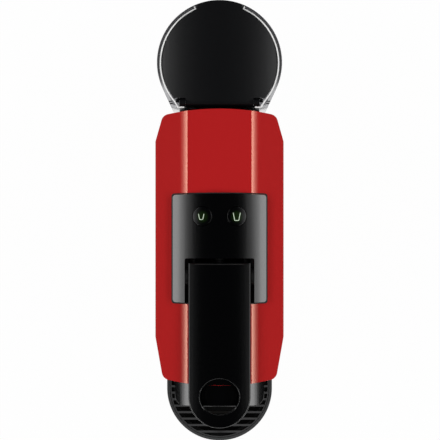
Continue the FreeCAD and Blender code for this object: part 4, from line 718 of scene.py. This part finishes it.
def sharpen_shell():
    """The outer shell with true shoulders and a finer round along its eaves."""
    shape = merged_copy("outer_shell")
    for side, _ in SIDES:
        slice_across(shape, side * FLAT_HALF * MM, side * SHOULDER_END * MM, SHOULDER_CUTS)
    for vert in shape.verts:
        x, z = abs(vert.co.x) / MM, vert.co.z / MM
        if FLAT_HALF < x < SHOULDER_END and abs(z - roof_height(x)) < ROOF_SLACK:
            vert.co.z = roof_height(x) * MM
    start_x, centre_z = eave_start(EAVE_RADIUS)
    fine_x, fine_z = eave_start(FINE_EAVE)
    for vert in shape.verts:
        x, z = abs(vert.co.x) / MM, vert.co.z / MM
        reach = math.hypot(x - SIDE_HALF + EAVE_RADIUS, z - centre_z)
        if x < start_x or z < centre_z - EAVE_FOOT or abs(reach - EAVE_RADIUS) > EAVE_SLACK:
            continue
        rise = FINE_EAVE ** 2 - (x - SIDE_HALF + FINE_EAVE) ** 2
        vert.co.z = (roof_height(x) if x < fine_x else fine_z + math.sqrt(max(rise, 0.0))) * MM
    mark_creases(shape)
    ease_edges(replace_node("outer_shell", shape), SHELL_ROUND)


PANEL_HALF = 33.6
PANEL_FRONT = -53.0
PANEL_REAR = 25.5
PANEL_CORNER = 2.0
PANEL_CROWN = 98.0
PANEL_TOP = 198.6
PANEL_BOW = 0.7
PANEL_ROUND = 0.3
BOWED_REAR = 23.0  # what lies behind this is bowed, and what lies in front of the next
BOWED_FRONT = -50.0
NOTCH_HALF = 25.0
NOTCH_REAR = -20.8
NOTCH_CORNER = 1.6
NOTCH_STEPS = 6
NOTCH_SLACK = 0.05
UPRIGHT = 0.99  # an edge that rises more steeply than this stands upright


def edge_bow(x):
    """How far the panel's front and rear edges have drawn in at a distance from the middle plane."""
    return PANEL_BOW * (x / PANEL_HALF) ** 2


def is_notch_corner(edge):
    start, end = (vert.co for vert in edge.verts)
    middle = (start + end) / 2 / MM
    upright = abs((start - end).normalized().z) > UPRIGHT
    beside = abs(abs(middle.x) - NOTCH_HALF) < NOTCH_SLACK
    return upright and beside and abs(middle.y - NOTCH_REAR) < NOTCH_SLACK


def shape_panel():
    """The control panel with bowed ends and round corners in its notch for the lever."""
    shape = merged_copy("control_panel")
    corners = [edge for edge in shape.edges if is_notch_corner(edge)]
    round_rims(shape, corners, NOTCH_CORNER, NOTCH_STEPS)
    for vert in shape.verts:
        if vert.co.y > BOWED_REAR * MM:
            vert.co.y -= edge_bow(vert.co.x / MM) * MM
        elif vert.co.y < BOWED_FRONT * MM:
            vert.co.y += edge_bow(vert.co.x / MM) * MM
    mark_creases(shape)
    ease_edges(replace_node("control_panel", shape), PANEL_ROUND)


NOSE_CROWN = 70.0
NOSE_LEDGE = 170.0  # what lies above this height belongs to the nose's top
NOSE_FOOT = 125.0  # what lies below this belongs to the nose's lower edge
NOSE_REAR = -105.0  # what lies behind this is inside the shell
NOSE_CUTS = 39
NOSE_WELD = 0.35  # corners of the nose that lie closer than this become one
NOSE_ROUND = 0.35
NOSE_STEPS = 8
WALL_TILT = 0.3  # a face whose normal rises less than this is a wall
TOP_TILT = 0.7  # and one whose normal rises more than this is a top


def is_nose_rim(edge):
    """Tells whether an edge in sight lies between the nose's walls and its top or its underside."""
    if max(vert.co.y for vert in edge.verts) >= NOSE_REAR * MM or len(edge.link_faces) != 2:
        return False
    lower, upper = sorted(face.normal.z for face in edge.link_faces)
    height = edge.verts[0].co.z / MM
    over = height > NOSE_LEDGE and lower < WALL_TILT and upper > TOP_TILT
    return over or height < NOSE_FOOT and lower < -TOP_TILT and upper > -WALL_TILT


def crown_nose():
    """The nose with a crowned top in place of its folded one."""
    shape = merged_copy("front_nose")
    low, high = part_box("front_nose")
    slice_across(shape, low[0], high[0], NOSE_CUTS)
    bmesh.ops.remove_doubles(shape, verts=shape.verts, dist=NOSE_WELD * MM)
    for vert in shape.verts:
        if vert.co.z > NOSE_LEDGE * MM:
            crown = high[2] + crown_height(vert.co.x / MM, NOSE_CROWN) * MM
            vert.co.z = min(vert.co.z, crown)
    shape.normal_update()
    rims = [edge for edge in shape.edges if is_nose_rim(edge)]
    round_rims(shape, rims, NOSE_ROUND, NOSE_STEPS)
    mark_creases(shape)
    keep_flat(replace_node("front_nose", shape))


# Buttons

BUTTON_X = 12.4
BUTTON_Y = 9.3
BUTTON_RADIUS = 6.9
BUTTON_DOME = 0.2
BUTTON_ROUND = 0.3
BUTTON_STEPS = 96
FLANGE_RADIUS = 8.4
FLANGE_HEIGHT = 1.6
SWITCH_GAP = 0.02  # left between a pressed button and its switch
CAP_DROP = 1.0  # from the button's top to where its cap is cut before it is domed
CAP_DEPTH = 2.0  # what lies less than this under the button's top belongs to the dome
CAP_RINGS = 6
MARK_LINE = 0.44
MARK_DEPTH = 0.6
MARK_PROUD = 0.04
MARK_CUTS = 6

# The cup marks: middle, half width at the rim and at the foot, rim, foot and the round of the foot
MARKS = {
    "espresso": (-13.1, 1.97, 1.15, 11.0, 6.95, 0.9),
    "lungo": (12.35, 2.54, 1.45, 11.85, 6.3, 0.4),
}


def cap_height(x, y, side):
    """Height of a button's domed top, that follows the panel's crown."""
    reach = math.hypot(x - side * BUTTON_X, y - BUTTON_Y) / BUTTON_RADIUS
    return PANEL_TOP + crown_height(x, PANEL_CROWN) - BUTTON_DOME * reach ** 2


def cup_path(middle, rim_half, foot_half, rim_y, foot_y, corner):
    """The outline of a cup without its rim, as one line in plan."""
    rim, foot = Vector((rim_half, rim_y)), Vector((foot_half, foot_y))
    leg = (rim - foot).normalized() * corner
    half = []
    for number in range(MARK_CUTS + 1):
        share = number / MARK_CUTS
        half.append(foot + leg * share ** 2 - Vector((corner, 0)) * (1 - share) ** 2)
    for number in range(1, MARK_CUTS + 1):
        half.append((foot + leg).lerp(rim, number / MARK_CUTS))
    return [(middle - p.x, p.y) for p in reversed(half)] + [(middle + p.x, p.y) for p in half]


def make_button(name, side):
    """A domed cap over its flange, with the lit cup mark let in to it."""
    low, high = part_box(f"{name}_button")
    shape = bmesh.new()
    bmesh.ops.create_circle(shape, cap_ends=True, segments=BUTTON_STEPS, radius=FLANGE_RADIUS * MM)
    base = low[2] + SWITCH_GAP * MM
    bmesh.ops.translate(shape, verts=shape.verts, vec=(side * BUTTON_X * MM, BUTTON_Y * MM, base))
    top = raise_faces(shape, shape.faces[:], FLANGE_HEIGHT * MM)
    bmesh.ops.inset_region(shape, faces=top, thickness=(FLANGE_RADIUS - BUTTON_RADIUS) * MM)
    top = raise_faces(shape, top, high[2] - low[2] - (FLANGE_HEIGHT + CAP_DROP) * MM)
    for _ in range(CAP_RINGS):
        bmesh.ops.inset_region(shape, faces=top, thickness=BUTTON_RADIUS / (CAP_RINGS + 1) * MM)
    for vert in shape.verts:
        if vert.co.z > high[2] - CAP_DEPTH * MM:
            vert.co.z = cap_height(vert.co.x / MM, vert.co.y / MM, side) * MM
    bmesh.ops.holes_fill(shape, edges=shape.edges)
    bmesh.ops.recalc_face_normals(shape, faces=shape.faces)
    ease_edges(replace_node(f"{name}_button", shape, "lit_button"), BUTTON_ROUND)
    mark = bmesh.new()
    lay_band(mark, cup_path(*MARKS[name]), MARK_LINE, MARK_PROUD - MARK_DEPTH, MARK_DEPTH)
    for vert in mark.verts:
        vert.co.z += cap_height(vert.co.x / MM, vert.co.y / MM, side) * MM
    replace_node(f"{name}_icon", mark)


# Lever and drip grid

HOLE_Y = -119.6
HOLE_REACH = 15.5  # what lies nearer to the hole's middle than this belongs to its edge
HOLE_STRETCH = 1.07
LEVER_CROWN = 108.0
LEVER_SIDE = 200.0  # what lies above this height belongs to the lever's crowned top
LEVER_ROUND = 0.25


def widen_lever_hole():
    """The lever with a finger hole that is a little wider than long."""
    shape = merged_copy("lever_cover")
    for vert in shape.verts:
        x, y, z = vert.co / MM
        if math.hypot(x, y - HOLE_Y) < HOLE_REACH:
            vert.co.x *= HOLE_STRETCH
            if z > LEVER_SIDE:
                fall = crown_height(x * HOLE_STRETCH, LEVER_CROWN) - crown_height(x, LEVER_CROWN)
                vert.co.z += fall * MM
    ease_edges(replace_node("lever_cover", shape), LEVER_ROUND)


GRID_RADIUS = 38.3
GRID_CENTRE = -124.2
GRID_REAR = -91.6
GRID_TOP = 37.6
GRID_THICK = 3.4
GRID_RIM = 0.9
GRID_ROUND = 0.25
FRONT_SLAT = -158.1
SLAT_PITCH = 5.04
SLAT_WIDTH = 1.6
SLAT_COUNT = 13
LOOP_STEPS = 48
SLOT_STEPS = 3
TIP_STEPS = 16
TIP_SLACK = 0.01  # a loop that starts nearer to the tip than this is finer there


def grid_half(y, radius):
    """Half the width of a loop with straight sides and a half-round front."""
    return radius if y > GRID_CENTRE else math.sqrt(max(radius ** 2 - (y - GRID_CENTRE) ** 2, 0.0))


def lay_loop(shape, radius, front, rear, steps):
    """The part of such a loop between two places, closed with straight lines; finer near the tip."""
    power = 2 if front < GRID_CENTRE - radius + TIP_SLACK else 1
    places = [front + (rear - front) * (number / steps) ** power for number in range(steps + 1)]
    right = [(grid_half(y, radius), y) for y in places]
    path = right + [(-x, y) for x, y in reversed(right) if x > 0]
    made = bmesh.ops.create_circle(shape, cap_ends=False, segments=len(path), radius=1.0)["verts"]
    for vert, (x, y) in zip(made, path):
        vert.co = Vector((x, y, GRID_TOP)) * MM


def make_drip_grid():
    """The drip grid with a fine rim and close slats."""
    shape = bmesh.new()
    lay_loop(shape, GRID_RADIUS, GRID_CENTRE - GRID_RADIUS, GRID_REAR, LOOP_STEPS)
    inner = GRID_RADIUS - GRID_RIM
    front = GRID_CENTRE - inner
    for number in range(SLAT_COUNT):
        slat = FRONT_SLAT + number * SLAT_PITCH
        lay_loop(shape, inner, front, slat - SLAT_WIDTH / 2, SLOT_STEPS if number else TIP_STEPS)
        front = slat + SLAT_WIDTH / 2
    lay_loop(shape, inner, front, GRID_REAR - GRID_RIM, SLOT_STEPS)
    bmesh.ops.triangle_fill(shape, use_beauty=True, edges=shape.edges, normal=(0, 0, 1))
    thicken(shape, -GRID_THICK)
    ease_edges(replace_node("drip_grid", shape, "tray_black"), GRID_ROUND)


# Painted shade on the shell, round the panel and under the lever's tip

SEAM_WIDTH = 0.9
SEAM_LIFT = 0.05
SEAM_WALL = 0.25
SEAM_STEPS = 32
SEAM_CUTS = 40
LONG_EDGE = 10.0  # an edge longer than this is a side of the seam and not one of its corners


def rounded_ring(shape, half, front, rear, corner):
    """A closed outline with round corners, as a circle pulled out to its sides."""
    made = bmesh.ops.create_circle(shape, cap_ends=False, segments=SEAM_STEPS, radius=corner)["verts"]
    turn = math.pi / SEAM_STEPS
    for vert in made:
        angle = math.atan2(vert.co.y, vert.co.x) + turn
        vert.co.x = corner * math.cos(angle) + math.copysign(half - corner, math.cos(angle))
        centre = rear - corner if math.sin(angle) > 0 else front + corner
        vert.co.y = corner * math.sin(angle) + centre


def make_panel_shade_line():
    """A black strip along the seam between the control panel and the outer shell: painted shade that
    stands in for the shadow in the gap between them.
    """
    shape = bmesh.new()
    rounded_ring(shape, PANEL_HALF, PANEL_FRONT, PANEL_REAR, PANEL_CORNER)
    sides = [edge for edge in shape.edges if edge.calc_length() > LONG_EDGE]
    bmesh.ops.subdivide_edges(shape, edges=sides, cuts=SEAM_CUTS)
    made = bmesh.ops.extrude_edge_only(shape, edges=shape.edges)
    middle_y = (PANEL_FRONT + PANEL_REAR) / 2
    stretch_x = (PANEL_HALF + SEAM_WIDTH) / PANEL_HALF
    stretch_y = (PANEL_REAR - middle_y + SEAM_WIDTH) / (PANEL_REAR - middle_y)
    for vert in verts_of(made):
        vert.co.x *= stretch_x
        vert.co.y = middle_y + (vert.co.y - middle_y) * stretch_y
    for vert in shape.verts:
        vert.co.y += math.copysign(edge_bow(vert.co.x), middle_y - vert.co.y)
        vert.co.z = roof_height(vert.co.x) + SEAM_LIFT
    bmesh.ops.scale(shape, vec=(MM, MM, MM), verts=shape.verts)
    bmesh.ops.recalc_face_normals(shape, faces=shape.faces)
    # The black strip is painted shade: it stands in for the shadow in the gap round the panel.
    seal = add_piece("panel_shade_line", shape, FINISHES["rubber_black"], "machine")
    give_wall(seal, SEAM_WALL)


SHADE_PAD_HALF = 21.2
SHADE_PAD_FRONT = -111.8
SHADE_PAD_REAR = -88.6
SHADE_PAD_HEIGHT = 0.4
SHADE_PAD_ROUND = 0.15


def make_lever_shadow_pad():
    """A black pad on the shell under the lever's tip: painted shade that stands in for the lever's
    shadow, seen through its finger hole.
    """
    shape = bmesh.new()
    bmesh.ops.create_grid(shape, x_segments=1, y_segments=1, size=1.0)
    middle, reach = (SHADE_PAD_FRONT + SHADE_PAD_REAR) / 2, (SHADE_PAD_REAR - SHADE_PAD_FRONT) / 2
    for vert in shape.verts:
        vert.co = Vector((SHADE_PAD_HALF * vert.co.x, middle + reach * vert.co.y, SHELL_TOP)) * MM
    thicken(shape, SHADE_PAD_HEIGHT)
    # The black pad is painted shade: it stands in for the lever's shadow on the red shell under its tip.
    pad = add_piece("lever_shadow_pad", shape, FINISHES["gloss_black"], "machine")
    ease_edges(pad, SHADE_PAD_ROUND, 2)


# Trim on the water tank, and a painted highlight round its lid

TANK_RIM = 187.0
GLINT_CENTRE = 119.6
GLINT_RADIUS = 42.55
GLINT_BAND = 1.0
GLINT_LIFT = 0.02
GLINT_HEIGHT = 0.5
GLINT_ROUND = 0.12
GLINT_STEP = 2  # degrees
TAB_ANGLE = 24  # from the back, in degrees, to where the pale band meets the lid's tab
TAB_LIP = 1.9
FLANK_ANGLE = 130  # to where the pale band leaves the round of the tank
GLINT_FRONT = 87.75
FRONT_CORNER = 29.8  # from the middle plane to where the pale band turns inward
FRONT_END = 25.4


def make_lid_glint():
    """A painted highlight: a pale band on the tank's rim that shows as a fine line round the lid, where
    the clear rim would catch the light.
    """
    for side, place in SIDES:
        turns = [(TAB_ANGLE, GLINT_RADIUS + TAB_LIP)]
        turns += [(angle, GLINT_RADIUS) for angle in range(TAB_ANGLE, FLANK_ANGLE + 1, GLINT_STEP)]
        path = []
        for angle, radius in turns:
            turn = math.radians(angle)
            path.append((side * radius * math.sin(turn), GLINT_CENTRE + radius * math.cos(turn)))
        path += [(side * FRONT_CORNER, GLINT_FRONT), (side * FRONT_END, GLINT_FRONT)]
        shape = bmesh.new()
        lay_band(shape, path, GLINT_BAND, TANK_RIM + GLINT_LIFT, GLINT_HEIGHT)
        # The pale band is a painted highlight that stands in for the light caught by the tank's clear
        # rim.
        ring = add_piece(f"lid_glint_{place}", shape, FINISHES["white_plastic"], "tank")
        ease_edges(ring, GLINT_ROUND, 2)


LID_AXIS_Y = 91.2
LID_AXIS_Z = 186.6
FILLER_INNER = 28.9
FILLER_OUTER = 31.4
FILLER_Y = 92.7
FILLER_WIDTH = 2.8
FILLER_FOOT = 184.0
FILLER_HEIGHT = 2.9
FILLER_ROUND = 0.2
COVER_INNER = 24.65
COVER_LENGTH = 3.95
COVER_RADIUS = 3.0
COVER_STEPS = 48
COVER_SLACK = 0.01  # what lies further than this under the axis is cut off
COVER_WALL = 0.1
COVER_ROUND = 0.03


def make_hinge_covers():
    """Black half-round covers over the lid's hinge ears on the tank, and fillers beside them."""
    for side, place in SIDES:
        shape = bmesh.new()
        path = [(side * FILLER_INNER, FILLER_Y), (side * FILLER_OUTER, FILLER_Y)]
        lay_band(shape, path, FILLER_WIDTH, FILLER_FOOT, FILLER_HEIGHT)
        filler = add_piece(f"hinge_filler_{place}", shape, FINISHES["lid_black"], "tank")
        ease_edges(filler, FILLER_ROUND)
        shape = bmesh.new()
        bmesh.ops.create_circle(shape, cap_ends=False, segments=COVER_STEPS, radius=COVER_RADIUS * MM)
        lower = [vert for vert in shape.verts if vert.co.y < -COVER_SLACK * MM]
        bmesh.ops.delete(shape, geom=lower, context="VERTS")
        axis = Vector((side * COVER_INNER, LID_AXIS_Y, LID_AXIS_Z)) * MM
        for vert in shape.verts:
            vert.co = axis + Vector((0, vert.co.x, vert.co.y))
        made = bmesh.ops.extrude_edge_only(shape, edges=shape.edges)
        bmesh.ops.translate(shape, verts=verts_of(made), vec=(side * COVER_LENGTH * MM, 0, 0))
        bmesh.ops.recalc_face_normals(shape, faces=shape.faces)
        cover = add_piece(f"hinge_cover_{place}", shape, FINISHES["lid_black"], "tank")
        give_wall(cover, COVER_WALL)
        ease_edges(cover, COVER_ROUND, 2)


set_camera()
lay_floor()
hang_softboxes()
set_sky()
bpy.context.scene.view_settings.view_transform = "Standard"
dress_frame()
ease_casing()
sharpen_shell()
shape_panel()
crown_nose()
widen_lever_hole()
make_drip_grid()
make_button("espresso", -1)
make_button("lungo", 1)
make_panel_shade_line()
make_lever_shadow_pad()
make_lid_glint()
make_hinge_covers()
